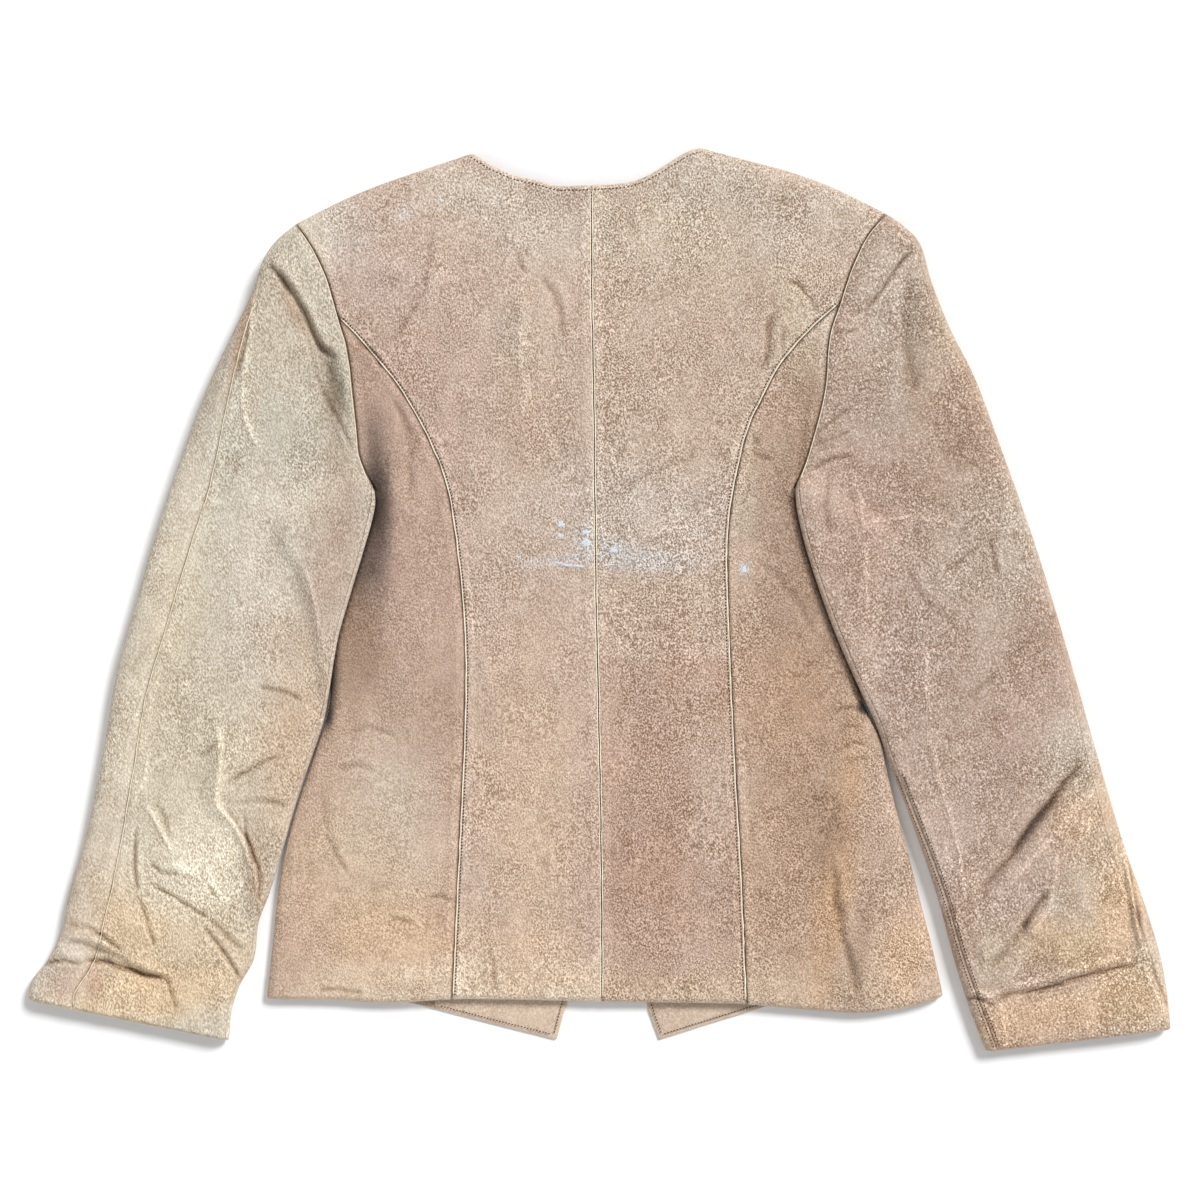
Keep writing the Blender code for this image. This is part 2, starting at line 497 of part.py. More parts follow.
def sleeve_panels(side):
    """Upper and under sleeve as grids of outside points, a row for each ring from armhole to cuff.

    With them comes the height of the body's edge below each point of the first ring.
    """
    line = side.line
    over_start = chain_of(line["armhole_high"].at(HIGH_STOPS), line["armhole_low"].at(LOW_STOPS))
    under_start = chain_of(
        line["underarm"].at(UNDERARM_STOPS), line["front_armhole_low"].at(FRONT_LOW_STOPS),
        line["front_armhole_high"].at(FRONT_HIGH_STOPS))
    start_chain = chain_of(over_start, under_start)
    under_shares = shares_along(under_start)
    marks = under_shares[[0, len(UNDERARM_STOPS) - 1, -len(FRONT_HIGH_STOPS), -1]]
    under_place = np.interp(under_shares, marks, (1.0, UNDERARM_PLACE, FRONT_NOTCH_PLACE, 2.0))
    start_place = np.concatenate([shares_along(over_start), under_place[1:]])
    round_again = np.concatenate([start_place, 2 + start_place[1:ELBOW_SEAM_POINT + 1]])

    shares = np.array(RING_SHARES)
    seams = np.array(SLEEVE_SEAMS[side.name])
    settled = ease(shares / ARMHOLE_SETTLED)
    elbow_place = eased_interp(shares, seams[:, 0], seams[:, 1])
    inner_place = eased_interp(shares, seams[:, 0], seams[:, 2])
    one = np.ones_like(shares)
    elbow = (ELBOW_SEAM_POINT, elbow_place, False)
    elbow_again = (OUTER_FOLD_POINT + ELBOW_SEAM_POINT, 2 + elbow_place, False)
    inner = (INNER_SEAM_POINT, inner_place, False)
    inner_fold = (INNER_FOLD_POINT, one, True)
    outer_fold = (OUTER_FOLD_POINT, 2 * one, True)
    stops = {"upper": (elbow, inner), "under": (inner, inner_fold, outer_fold, elbow_again)}
    grids = {}
    seats = {}
    for layer, rows in stops.items():
        piece = "sleeve_" + side.name + "_" + layer
        places = places_between(rows, round_again, settled)
        grids[piece] = sleeve_grid(side, shares, places, start_chain, start_place)
        over = (places[0] <= 1) | (places[0] > 2)
        seats[piece] = side.seat_height(grids[piece][0, :, :2], over)
    return grids, seats


def sleeve_grid(side, shares, places, start_chain, start_place):
    outer = side.sleeve_outer.at(shares)[:, None]
    inner = side.sleeve_inner.at(shares)[:, None]
    wrapped = np.where(places > 2, places - 2, places)
    over = wrapped <= 1
    inward = np.where(over, wrapped, 2 - wrapped)[..., None]
    chord_start = outer[0] + inward * (inner[0] - outer[0])
    start_x = np.interp(wrapped, start_place, start_chain[:, 0])
    start_y = np.interp(wrapped, start_place, start_chain[:, 1])
    bulge = np.stack([start_x, start_y], axis=-1) - chord_start
    fading = (1 - ease(shares / HEAD_BULGE_END))[:, None, None]
    points = outer + inward * (inner - outer) + fading * bulge
    return with_height(points, side.sleeve_surface(points, over))


def grid_normals(grid):
    """Area-weighted normals at the points of a grid, all on one side of it."""
    rising = grid[1:, 1:] - grid[:-1, :-1]
    falling = grid[:-1, 1:] - grid[1:, :-1]
    face = np.cross(rising, falling)
    total = np.zeros_like(grid)
    for rows in (slice(None, -1), slice(1, None)):
        for columns in (slice(None, -1), slice(1, None)):
            total[rows, columns] += face
    return total


def shared_normals(grids, facing, seats):
    """Unit normals that agree wherever two pieces meet."""
    sums = {}
    own = {}
    for name, grid in grids.items():
        own[name] = grid_normals(grid) * facing[name]
        for key, normal in zip(meeting_points(grid, seats.get(name)), own[name].reshape(-1, 3)):
            sums[key] = sums.get(key, 0) + normal
    for name, grid in grids.items():
        joined = np.array([sums[key] for key in meeting_points(grid, seats.get(name))]).reshape(grid.shape)
        own[name] = joined / np.linalg.norm(joined, axis=-1, keepdims=True)
        if name in seats:
            first = own[name][0]
            stacked = (np.abs(grid[0, :, 2] - seats[name]) >= 2 * WALL) & (np.abs(first[:, 2]) > 0.5)
            first[stacked] = np.sign(first[stacked]) * (0, 0, 1)
    return own


def meeting_points(grid, seat):
    """Rounded points as keys; a sleeve's first ring takes the body's height where it sits just above it."""
    points = grid.copy()
    if seat is not None:
        close = np.abs(grid[0, :, 2] - seat) < 2 * WALL
        points[0, close, 2] = seat[close]
    return list(map(tuple, np.round(points, 2).reshape(-1, 3) + 0.0))


def facing_of(name, grid):
    """1 or -1, so that the grid's normals point out of the garment."""
    up = grid_normals(grid)[..., 2]
    if name.startswith("sleeve"):
        middle_row, middle_column = grid.shape[0] // 2, grid.shape[1] // 2
        return np.sign(up[middle_row, middle_column]) * (1 if name.endswith("upper") else -1)
    return np.sign(up.sum()) * (1 if name.startswith("back") else -1)


def trimmed(grid, normals, distance):
    """Draw the four edges of a grid inwards by half a seam gap."""
    result = grid.copy()
    for turn in ((0, 1, 2), (1, 0, 2)):
        moved, source, normal = result.transpose(turn), grid.transpose(turn), normals.transpose(turn)
        moved[0] += inward_step(source[0], source[1], normal[0]) * distance
        moved[-1] += inward_step(source[-1], source[-2], normal[-1]) * distance
    return result


def inward_step(edge, inside, normal):
    """Unit steps from an edge into the sheet, square to the edge and along the surface."""
    along = np.gradient(edge, axis=0)
    along -= (along * normal).sum(-1, keepdims=True) * normal
    step = np.cross(normal, along)
    step *= np.sign((step * (inside - edge)).sum(-1, keepdims=True))
    return step / np.linalg.norm(step, axis=1, keepdims=True)


def split_cells(outside, number):
    """Two triangles for each cell of a grid, parted along the cell's shorter diagonal."""
    rising = np.linalg.norm(outside[1:, 1:] - outside[:-1, :-1], axis=-1)
    falling = np.linalg.norm(outside[1:, :-1] - outside[:-1, 1:], axis=-1)
    a, b, c, d = number[:-1, :-1], number[1:, :-1], number[1:, 1:], number[:-1, 1:]
    rises = (rising <= falling)[..., None]
    first = np.where(rises, np.stack([a, b, c], axis=-1), np.stack([a, b, d], axis=-1))
    second = np.where(rises, np.stack([a, c, d], axis=-1), np.stack([b, c, d], axis=-1))
    return np.concatenate([first.reshape(-1, 3), second.reshape(-1, 3)])


def wall_mesh(name, grid, normals, facing):
    """A closed wall: the outside grid, the inside grid and the rim between them."""
    outside = trimmed(grid, normals, SEAM_GAP / 2)
    inside = outside - WALL * normals
    rows, columns = grid.shape[:2]
    count = rows * columns
    number = np.arange(count).reshape(rows, columns)
    triangles = split_cells(outside, number)
    if facing < 0:
        triangles = triangles[:, ::-1]
    rim = np.concatenate([number[0, :-1], number[:-1, -1], number[-1, :0:-1], number[:0:-1, 0]])
    following = np.roll(rim, -1)
    sides = np.stack([rim, following, following + count, rim + count], axis=-1)
    if facing < 0:
        sides = sides[:, ::-1]
    faces = triangles.tolist() + (triangles[:, ::-1] + count).tolist() + sides.tolist()
    points = np.concatenate([outside.reshape(-1, 3), inside.reshape(-1, 3)]) * MM
    mesh = bpy.data.meshes.new(name)
    mesh.from_pydata(points.tolist(), [], faces)
    mesh.polygons.foreach_set("use_smooth", [True] * len(triangles) * 2 + [False] * len(sides))
    mesh.update()
    return mesh


def suede_material(name):
    material = bpy.data.materials.new("suede_" + name)
    material.use_nodes = True
    shader = material.node_tree.nodes["Principled BSDF"]
    shader.inputs["Base Color"].default_value = (*SUEDE[name], 1.0)
    shader.inputs["Roughness"].default_value = 0.9
    shader.inputs["Metallic"].default_value = 0.0
    return material


def clear_scene():
    for item in list(bpy.data.objects):
        bpy.data.objects.remove(item, do_unlink=True)


def centred(meshes):
    """Move all the meshes so that their common box has its bottom centre on the origin."""
    corners = np.array([vertex.co for mesh in meshes.values() for vertex in mesh.vertices])
    low, high = corners.min(axis=0), corners.max(axis=0)
    shift = Matrix.Translation((-(low[0] + high[0]) / 2, -(low[1] + high[1]) / 2, -low[2]))
    for mesh in meshes.values():
        mesh.transform(shift)


def build():
    clear_scene()
    grids = {}
    seats = {}
    for name, tables in (("left", LEFT), ("right", RIGHT)):
        side = Side(name, tables)
        grids.update(body_panels(side))
        sleeve, seat = sleeve_panels(side)
        grids.update(sleeve)
        seats.update(seat)
    facing = {name: facing_of(name, grid) for name, grid in grids.items()}
    normals = shared_normals(grids, facing, seats)
    meshes = {name: wall_mesh(name, grid, normals[name], facing[name]) for name, grid in grids.items()}
    centred(meshes)
    for name, mesh in meshes.items():
        mesh.materials.append(suede_material(name))
        bpy.context.scene.collection.objects.link(bpy.data.objects.new(name, mesh))


build()
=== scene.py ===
"""Looks of the suede jacket that lies on its front: fine panels, seams, creases, nap and colour.

Every panel is laid out again from the same lines and heights as its solid, with a finer grid, and
takes its creases, seams and hems from the tables below.  Tables are in millimetres, with X across
the jacket, Y up towards the neck and Z up from the surface that it lies on.
"""

import bpy
import numpy as np
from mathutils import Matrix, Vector


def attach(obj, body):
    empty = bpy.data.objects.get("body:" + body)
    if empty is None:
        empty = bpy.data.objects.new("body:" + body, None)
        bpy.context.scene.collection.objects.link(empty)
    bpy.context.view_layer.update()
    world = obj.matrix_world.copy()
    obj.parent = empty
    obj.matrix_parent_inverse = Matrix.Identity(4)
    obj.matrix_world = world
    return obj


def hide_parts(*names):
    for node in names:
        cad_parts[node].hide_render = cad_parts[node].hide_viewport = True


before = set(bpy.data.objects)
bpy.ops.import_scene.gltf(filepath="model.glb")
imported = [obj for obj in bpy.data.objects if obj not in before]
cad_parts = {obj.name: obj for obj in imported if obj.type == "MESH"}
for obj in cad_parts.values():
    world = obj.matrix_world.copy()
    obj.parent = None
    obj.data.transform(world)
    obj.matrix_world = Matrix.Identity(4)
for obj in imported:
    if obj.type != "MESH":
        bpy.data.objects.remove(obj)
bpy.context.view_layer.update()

MM = 0.001
PLACE = np.array((0.335, -0.453, 0.035))     # from the tables' origin to the model's

# Driving sizes
WALL = 1.5                  # thickness of the suede
SEAM_GAP = 0.3              # between two pieces at a seam
STACK_GAP = 0.8             # between a sleeve and the body that it lies on
FOLDED_SLEEVE = 5.4         # height of the sleeve where it is folded flat on the body
EDGE_SHARE = 0.5            # height of a folded edge, as a share of the height inside it
SHOULDER_ROUND = 13.0       # width of the rounding along shoulders and outer sleeve edges
SIDE_ROUND = 10.0           # the same along the body's sides
UNDER_ROUND = 5.0           # the same below every folded edge
INNER_ROUND_TIGHT = 3.8     # inner sleeve edge where it lies on the body
INNER_ROUND_LOOSE = 9.0     # inner sleeve edge beside the skirt
DRAPE_WIDTH = 24.0          # how far the sleeve bridges out past the body's side
UNDERARM_BLEND = 26.0       # how far above the underarm seam the sleeve is lifted
HEIGHT_REACH = 46.0         # how far each row of a height table is felt
HEAD_BLEND = 70.0           # from the armhole to where the sleeve has its own height
SOFT_LIFT = 2.0             # roundness of the change from one height to the other
CARRY_END = -106.0          # the body carries nothing of the sleeve below this level
CARRY_FULL = -64.0          # and all of it above this one
INNER_ROUND_END = -110.0    # the inner sleeve edge is loose below this level
INNER_ROUND_FULL = -40.0    # and tight above this one
FOLD_CLEARANCE = 30.0       # pressed folds fade out over this distance from a folded edge
ARMHOLE_CLEARANCE = 12.0    # and the sleeve's over this distance from the armhole
SLEEVE_CLEARANCE = 40.0     # the body's folds fade out this far before a sleeve that lies on it
CARRIED_FOLDS = 0.3         # share that is left of the sleeve's folds where it lies on the body
PAST_UNDERARM = 30.0        # steps by which the side's line runs on inside the sleeve
ARMHOLE_SETTLED = 0.16      # share of the sleeve over which its seams leave the armhole's points
HEM_COLUMNS_END = 0.70      # share of a panel's height up to which its columns keep the hem's spacing
HEAD_BULGE_END = 0.75       # share of the sleeve over which the armhole's curve fades out
INNER_STEP = 3              # the inside has one grid line for three of the outside
RIM_STEPS = 4               # rows round a rim
TURNED_WALL = 2.7           # two layers where a hem is turned
HEM_WALL_STEP = 3.0         # width over which the second layer ends
SEAM_DIP = 0.9              # how far the hide rolls down into a seam
SEAM_DIP_WIDTH = 1.2
ALLOWANCE = 8.0             # width of the seam allowances pressed through
ALLOWANCE_RISE = 0.3        # how high they stand
ALLOWANCE_STEP = 2.0        # width over which an allowance ends
PUCKER_REACH = 6.0          # how far beside a seam it puckers
HEM_WIDTH = 18.0            # turned hem of the back
CUFF_WIDTH = 26.0           # turned hem of the sleeves
NECK_WIDTH = 7.0            # bound neck edge
HEM_RISE = 0.45             # how high its second layer stands
HEM_ROLL = 1.0              # how far a turned edge rolls down
HEM_STEP = 2.5              # width of that roll, and over which the second layer shows
EVENED_MARGIN = 20          # grid lines over which the evening sets in from an edge
EVENED_PASSES = 80
FOLD_SPACING = 0.12         # closeness of the sleeve's grid lines at a fold
SEAM_SPACING = 0.5          # and at a seam
UNDER_CRUMPLE = 0.7         # share of the crumple in the under layers
UNDER_MARGIN = 8.0          # calm margin of an under layer along its folds
BODY_SHIFT = (311.0, 57.0)  # the under layers take their crumple from elsewhere
SLEEVE_SHIFT = (211.0, 157.0)
HEAD_PUFF = 0.7             # fullness of the sleeve head beside the armhole
HEAD_PUFF_PLACE = 9.0       # how far beside it
HEAD_PUFF_WIDTH = 7.0
CALM_START = 1.0            # the body's creases stay flat this far beside a sleeve that lies on it
CALM_WIDTH = 5.0            # and grow over this width, as beside every folded edge
CARRIED_CALM = 0.45         # share of the sleeve's own creases lost where it lies on the body
TINY = 1e-9
FLIPPED = [0, 3, 2, 1]      # order of a quad's corners seen from the other side

# Smooth unevenness: size of its bumps, strength and seed
BUMPS = {
    "broad": (52.0, 0.45, 3), "middle": (19.0, 0.22, 5), "ridges": (26.0, 1.0, 7), "fine": (6.5, 0.07, 9),
    "crease path": (9.0, 0.5, 40), "crease depth": (14.0, 0.3, 90), "pucker": (7.0, 0.22, 0),
    "patch edge": (30.0, 0.35, 200), "patch fringe": (11.0, 0.2, 300), "step": (12.0, 2.5, 15),
    "blotch": (38.0, 0.035, 11), "small blotch": (14.0, 0.03, 12),
    "bead width": (5.0, 0.3, 0), "bead path": (9.0, 0.3, 1),
}
SEAM_SEEDS = {"body": 60, "sleeve": 70, "armhole": 75}
LATTICE = 64                # values of the noise before it repeats
LATTICE_TURN = 0.7          # each seed turns the noise by this much more
LATTICE_START = 100.0       # keeps its places positive
MIDDLE_STRETCH = (1.0, 0.6)     # the middle bumps run up the garment
RIDGE_HEIGHT = 0.35
RIDGE_SHARPNESS = 4
RIDGE_MEAN = 0.1            # taken off again, so that the ridges don't thicken the hide

# Creases, in their own half widths unless said
CREASE_STEPS = 5            # points from one knot to the next
CREASE_REACH = 6.0          # how far one is worked out
CREASE_END = 0.35           # share of its height at its ends
CREASE_END_REACH = 3.0      # and the length over which that grows to the whole
LIP_HEIGHT = -0.38          # raised lips beside a valley, as a share of it
LIP_PLACE = 2.1
LIP_WIDTH = 1.1
LEAN_WIDTH = 4.0            # width of the ground that a lean raises
SHADE_WIDTH = 0.8           # width of its painted shade and highlight
# Small scattered creases: one to so many square millimetres, and the ranges that they are drawn from
SCATTER_ROOM = 900.0
SCATTER_LENGTH = (8, 34)
SCATTER_TURN = 0.6          # how far their directions differ, in radians
SCATTER_BEND = 0.16         # as a share of the length
SCATTER_RISE = (0.18, 0.5)
SCATTER_WIDTH = (1.6, 3.4)
# painted shade in their valleys and painted highlight on their ridges, as a share of their height
SCATTER_SHADE = 0.12

# Camera and light
FRAME_WIDTH = 867.2         # what the camera sees across at the garment's middle height
MIDDLE_HEIGHT = 12.0
LENS = 85.0
SENSOR = 36.0
WORLD_STRENGTH = 0.34
FLOOR_SIZE = 400.0
FLOOR_DEPTH = 0.0004
FLOOR_COLOUR = (0.93, 0.93, 0.93, 1)
# Wide, even lamps: where they shine from, the angle they fill in degrees and their strength
LAMPS = (
    ("key", (1.8, 2.0, 2.3), 20.0, 3.25),
    ("fill", (-1.3, -1.5, 2.2), 50.0, 0.75),
)

# Sewing
EDGE_STEP = 0.8             # steps of a raw seam edge
BACK_TRIM = 3               # steps left off at the ends of a back seam
HEAD_TRIM = 8               # and of the armhole
BEAD_SIDES = 6
BEAD_ENDS = 4.0             # steps over which a raw edge thins out
BEAD_TIP = 0.2              # share of its width left there
BEAD_DEPTH = 0.25           # how deep it sits in the hide
STITCH_STEP = 2.3
NECK_STITCH_STEP = 1.15 * STITCH_STEP
STITCH_LENGTH = 1.4
STITCH_WIDTH = 0.8
STITCH_SIDES = 4
STITCH_WANDER = 0.05        # how far the stitches' directions differ, in radians
# Along a stitch: place as a share of its length, height and share of its width
STITCH_RINGS = ((-0.5, -0.25, 0.5), (-0.3, 0.05, 1.0), (0.3, 0.05, 1.0), (0.5, -0.25, 0.5))
# Raw seam edges: distance beside the seam, height over the hide, seed, width and rise
SEAM_EDGES = {
    "princess": (-0.5, 0.35, 81, 1.05, 0.5), "centre": (0.8, 0.2, 83, 0.8, 0.45),
    "armhole": (-0.9, 0.1, 94, 0.7, 0.45), "elbow": (0.5, 0.1, 91, 0.7, 0.45),
}
# Rows of stitches: distance beside the seam or edge, height over the hide and seed
STITCH_ROWS = {
    "princess": (-1.9, 0.15, 82), "centre": (0.0, 0.25, 84), "neck": (2.2, 0.15, 85),
    "front": (2.6, 0.1, 86), "inner": (2.0, 0.3, 92), "inner again": (-2.4, 0.3, 92),
}
# The sewn seam that shows on each sleeve, and the share of the sleeve from which it shows
SEWN_FROM = {"left": ("elbow", 0.12), "right": ("inner", 0.52)}
SEWN_FADE = 0.06            # share over which it comes up
SEAM_PATH_STEP = 4          # every fourth point of that seam is close enough for distances to it
FLAKE_POINTS = 18
FLAKE_SEED = 400
FLAKE_RAGGED = 0.22         # how far its rim strays, as a share of its size
FLAKE_LIMITS = (-1.6, 1.6)
# From the rim of a flake to its middle: share of its size and height over the hide
FLAKE_RINGS = ((1.0, -0.12), (0.8, 0.1), (0.4, 0.14))

# Outlines and seams: rows of (x, y), in order along the line
CENTRE_BACK = (
    (1.4, -289.8), (0.7, -180.7), (-0.7, -94.0), (-2.9, 0.0), (-4.3, 124.3), (-5.8, 210.3),
    (-6.5, 298.5))
BACK_HEM_MIDDLE = ((-107.0, -287.6), (-57.8, -288.4), (1.4, -289.8), (50.6, -290.5), (106.2, -291.2))

LEFT = {
    "shoulder": (
        (-219.7, 271.7), (-203.1, 280.4), (-182.8, 290.5), (-160.4, 299.9), (-123.6, 312.9),
        (-94.0, 323.0)),
    "back_neck": (
        (-6.5, 298.5), (-31.8, 298.5), (-44.8, 302.1), (-62.9, 306.4), (-79.5, 313.7), (-94.0, 323.0)),
    "armhole_high": ((-219.7, 271.7), (-206.7, 252.9), (-196.6, 231.3), (-188.6, 203.8)),
    "armhole_low": (
        (-188.6, 203.8), (-182.1, 181.4), (-177.8, 144.5), (-175.6, 122.1), (-173.6, 104.0),
        (-168.9, 91.5), (-162.6, 79.5)),
    "underarm": ((-162.6, 79.5), (-182.0, 61.5), (-206.0, 51.5), (-229.8, 50.0)),
    "back_princess": (
        (-107.0, -287.6), (-101.9, -180.7), (-98.3, -101.2), (-97.6, -28.2), (-104.1, 43.4),
        (-111.3, 84.6), (-120.0, 107.7), (-132.3, 133.0), (-148.9, 159.0), (-169.1, 183.6),
        (-188.6, 203.8)),
    "side": (
        (-241.4, -287.6), (-236.8, -244.0), (-232.4, -205.0), (-227.2, -177.8), (-218.6, -146.7),
        (-212.4, -127.9), (-203.8, -101.7), (-198.4, -86.3), (-195.4, -70.3), (-197.3, -39.7),
        (-203.1, -8.7), (-213.9, 24.6), (-229.8, 50.0)),
    "back_hem": ((-241.4, -287.6), (-195.9, -288.4), (-154.7, -290.5), (-107.0, -287.6)),
    "front_armhole_low": ((-229.8, 50.0), (-230.2, 80.0), (-217.5, 127.0), (-203.8, 180.7)),
    "front_armhole_high": ((-203.8, 180.7), (-208.1, 231.3), (-219.7, 271.7)),
    "front_princess": (
        (-120.0, -296.3), (-125.0, -216.8), (-130.1, -130.1), (-134.4, -43.4), (-141.6, 28.9),
        (-155.4, 94.0), (-179.2, 144.5), (-203.8, 180.7)),
    "front_hem_side": ((-241.4, -287.6), (-195.1, -289.1), (-148.2, -290.5), (-120.0, -296.3)),
    "front_hem_tip": ((-120.0, -296.3), (-72.3, -308.6), (-31.8, -318.7)),
    "cutaway": ((-31.8, -318.7), (-25.3, -294.1), (-14.5, -252.9), (-2.9, -209.6), (3.6, -169.8)),
    "centre_front": ((3.6, -169.8), (0.4, -20.0), (-3.3, 226.0)),
    "front_neck": ((-3.3, 226.0), (-34.0, 236.0), (-62.0, 258.0), (-84.0, 290.0), (-94.0, 323.0)),
    "sleeve_outer": (
        (-219.7, 271.7), (-234.9, 258.7), (-243.5, 245.7), (-251.5, 221.9), (-264.5, 195.1),
        (-284.7, 151.8), (-305.0, 97.6), (-323.0, 43.4), (-335.3, 0.0), (-349.1, -48.4),
        (-359.2, -106.2), (-372.2, -169.8), (-385.2, -215.4), (-391.0, -242.1), (-399.7, -260.2),
        (-412.7, -277.5), (-414.1, -288.4)),
    "sleeve_inner": (
        (-162.6, 79.5), (-162.0, 69.5), (-164.8, 55.8), (-171.3, 33.2), (-179.2, 7.2), (-188.6, -25.3),
        (-192.2, -44.1), (-195.4, -65.0), (-199.8, -86.7), (-206.4, -107.0), (-218.8, -142.4),
        (-228.8, -177.1), (-238.9, -211.0), (-247.2, -233.4), (-250.8, -260.2), (-260.9, -279.0),
        (-266.7, -297.0), (-268.8, -318.0)),
}

RIGHT = {
    "shoulder": (
        (206.7, 279.0), (184.3, 290.5), (162.6, 300.6), (136.6, 310.0), (104.8, 318.7), (75.2, 326.7)),
    "back_neck": (
        (-6.5, 298.5), (20.2, 300.6), (34.7, 305.7), (51.3, 315.8), (63.6, 323.0), (75.2, 326.7)),
    "armhole_high": ((206.7, 279.0), (193.7, 263.8), (181.4, 239.9), (172.7, 213.9)),
    "armhole_low": (
        (172.7, 213.9), (165.5, 191.5), (161.2, 147.4), (153.9, 117.8), (147.2, 96.0), (140.9, 81.5)),
    "underarm": ((140.9, 81.5), (157.0, 62.0), (179.0, 50.0), (202.4, 47.0)),
    "back_princess": (
        (106.2, -291.2), (101.9, -195.1), (99.0, -144.5), (95.4, -72.3), (92.5, 0.0), (92.5, 50.6),
        (99.7, 96.1), (107.7, 126.5), (116.4, 144.5), (127.9, 166.9), (148.9, 192.2), (172.7, 213.9)),
    "side": (
        (248.6, -286.2), (241.4, -253.7), (232.7, -219.7), (223.9, -185.0), (213.2, -146.0),
        (206.4, -115.6), (204.2, -104.1), (200.0, -93.5), (194.8, -83.5), (189.4, -70.0),
        (187.2, -43.4), (187.9, -14.5), (192.2, 14.5), (202.4, 47.0)),
    "back_hem": ((248.6, -286.2), (224.8, -293.4), (190.1, -297.8), (143.1, -294.9), (106.2, -291.2)),
    "front_armhole_low": ((202.4, 47.0), (202.8, 75.0), (192.5, 122.0), (181.7, 180.7)),
    "front_armhole_high": ((181.7, 180.7), (188.6, 231.3), (206.7, 279.0)),
    "front_princess": (
        (129.4, -292.0), (130.1, -216.8), (131.5, -130.1), (134.4, -43.4), (138.8, 28.9), (148.2, 94.0),
        (162.2, 144.5), (181.7, 180.7)),
    "front_hem_side": (
        (248.6, -286.2), (224.8, -291.5), (190.1, -295.6), (159.0, -292.7), (129.4, -292.0)),
    "front_hem_tip": ((129.4, -292.0), (86.7, -305.0), (43.4, -318.7)),
    "cutaway": ((43.4, -318.7), (34.7, -294.1), (22.4, -252.9), (10.8, -209.6), (5.1, -169.8)),
    "centre_front": ((5.1, -169.8), (1.4, -20.0), (-2.7, 226.0)),
    "front_neck": ((-2.7, 226.0), (24.0, 238.0), (47.0, 260.0), (67.0, 292.0), (75.2, 326.7)),
    "sleeve_outer": (
        (206.7, 279.0), (218.3, 271.0), (230.5, 258.7), (239.9, 229.1), (252.9, 196.6), (271.0, 160.4),
        (290.5, 108.4), (310.8, 52.0), (327.4, 0.0), (346.9, -66.5), (359.9, -112.0), (379.4, -177.1),
        (394.6, -220.4), (405.4, -255.8), (410.5, -281.9), (413.4, -310.0)),
    "sleeve_inner": (
        (140.9, 81.5), (141.6, 67.7), (146.7, 44.1), (151.8, 26.7), (166.9, -16.6), (185.7, -60.7),
        (199.6, -89.6), (209.2, -117.1), (221.9, -150.3), (243.5, -212.5), (257.3, -263.1),
        (267.4, -294.9), (279.0, -325.9)),
}

# Heights of the upper surface: rows of (x, y, height)
BODY_HEIGHTS = (
    (-215, -275, 9.0), (-107, -285, 9.0), (0, -290, 9.0), (108, -290, 9.0), (230, -275, 9.0),
    (-200, -145, 10.0), (-108, -145, 11.5), (0, -145, 12.0), (108, -145, 11.5), (200, -145, 10.0),
    (-185, -72, 9.5), (-95, -30, 13.5), (0, -40, 14.0), (95, -30, 13.5), (180, -72, 9.5),
    (-205, 30, 9.5), (-140, 70, 14.5), (0, 108, 17.0), (130, 70, 14.5), (180, 30, 9.5),
    (-90, 180, 19.0), (90, 180, 19.0), (-210, 245, 23.0), (200, 245, 23.0), (-145, 267, 19.0),
    (130, 267, 19.0), (-7, 290, 13.0), (-94, 310, 13.0), (72, 314, 13.0))
SLEEVE_HEIGHTS = (
    (-262, 200, 22.0), (-290, 108, 20.0), (-310, 0, 18.0), (-330, -108, 17.0), (-362, -217, 14.0),
    (-385, -300, 12.0), (-185, 60, 12.0), (-205, 0, 11.5), (-215, -72, 12.0), (-245, -145, 13.0),
    (-265, -217, 13.0), (-290, -300, 11.5), (252, 200, 22.0), (278, 108, 20.0), (300, 0, 18.0),
    (330, -108, 17.0), (375, -217, 14.0), (395, -310, 12.0), (165, 60, 12.0), (185, 0, 11.5),
    (215, -72, 12.0), (245, -145, 13.0), (268, -217, 13.0), (300, -310, 11.5))

# Folds pressed into the upper layer: (start x, y, end x, y, half width, height; a valley is negative)
FOLDS = (
    (-244, 236, -196, 158, 16, -3.0), (-258, 208, -222, 120, 16, 2.6), (-240, 40, -262, -30, 20, 2.0),
    (-275, -90, -272, -150, 16, 2.8), (-266, -160, -246, -222, 15, -2.4),
    (-330, -146, -300, -205, 15, 2.2), (-368, -256, -316, -272, 13, -2.6),
    (-335, -235, -262, -262, 14, 2.0), (225, 250, 188, 205, 14, -2.6), (206, 92, 188, 20, 18, 1.6),
    (262, -40, 240, -104, 18, 2.0), (352, -118, 282, -198, 16, -3.2), (330, -196, 284, -262, 15, 2.8),
    (372, -176, 326, -246, 15, 2.4), (385, -262, 292, -288, 13, -2.2), (-54, 212, -54, 122, 16, 2.0),
    (140, 250, 112, 190, 18, 1.6), (172, -196, 190, -284, 16, 1.8), (-160, -130, -150, -200, 20, 1.4),
    (44, 40, 60, -60, 22, 1.6), (-70, -180, -60, -250, 20, 1.2))

# Seams along the sleeves: rows of (share of the length, elbow seam, inner seam) round the sleeve,
# where 0 is the outer edge, 1 the inner edge over the top and 2 the outer edge again from below
SLEEVE_SEAMS = {
    "left": (
        (0.0, 0.026, 0.985), (0.08, 0.028, 0.985), (0.35, 0.155, 0.985), (0.55, 0.165, 0.985),
        (1.0, 0.225, 0.985)),
    "right": ((0.0, 0.026, 0.979), (0.50, 0.028, 0.979), (0.78, 0.075, 0.958), (1.0, 0.04, 0.940)),
}
UNDERARM_PLACE = 1.55       # where the body's side seam meets the sleeve, in the same measure
FRONT_NOTCH_PLACE = 1.82    # where the front princess seam meets it
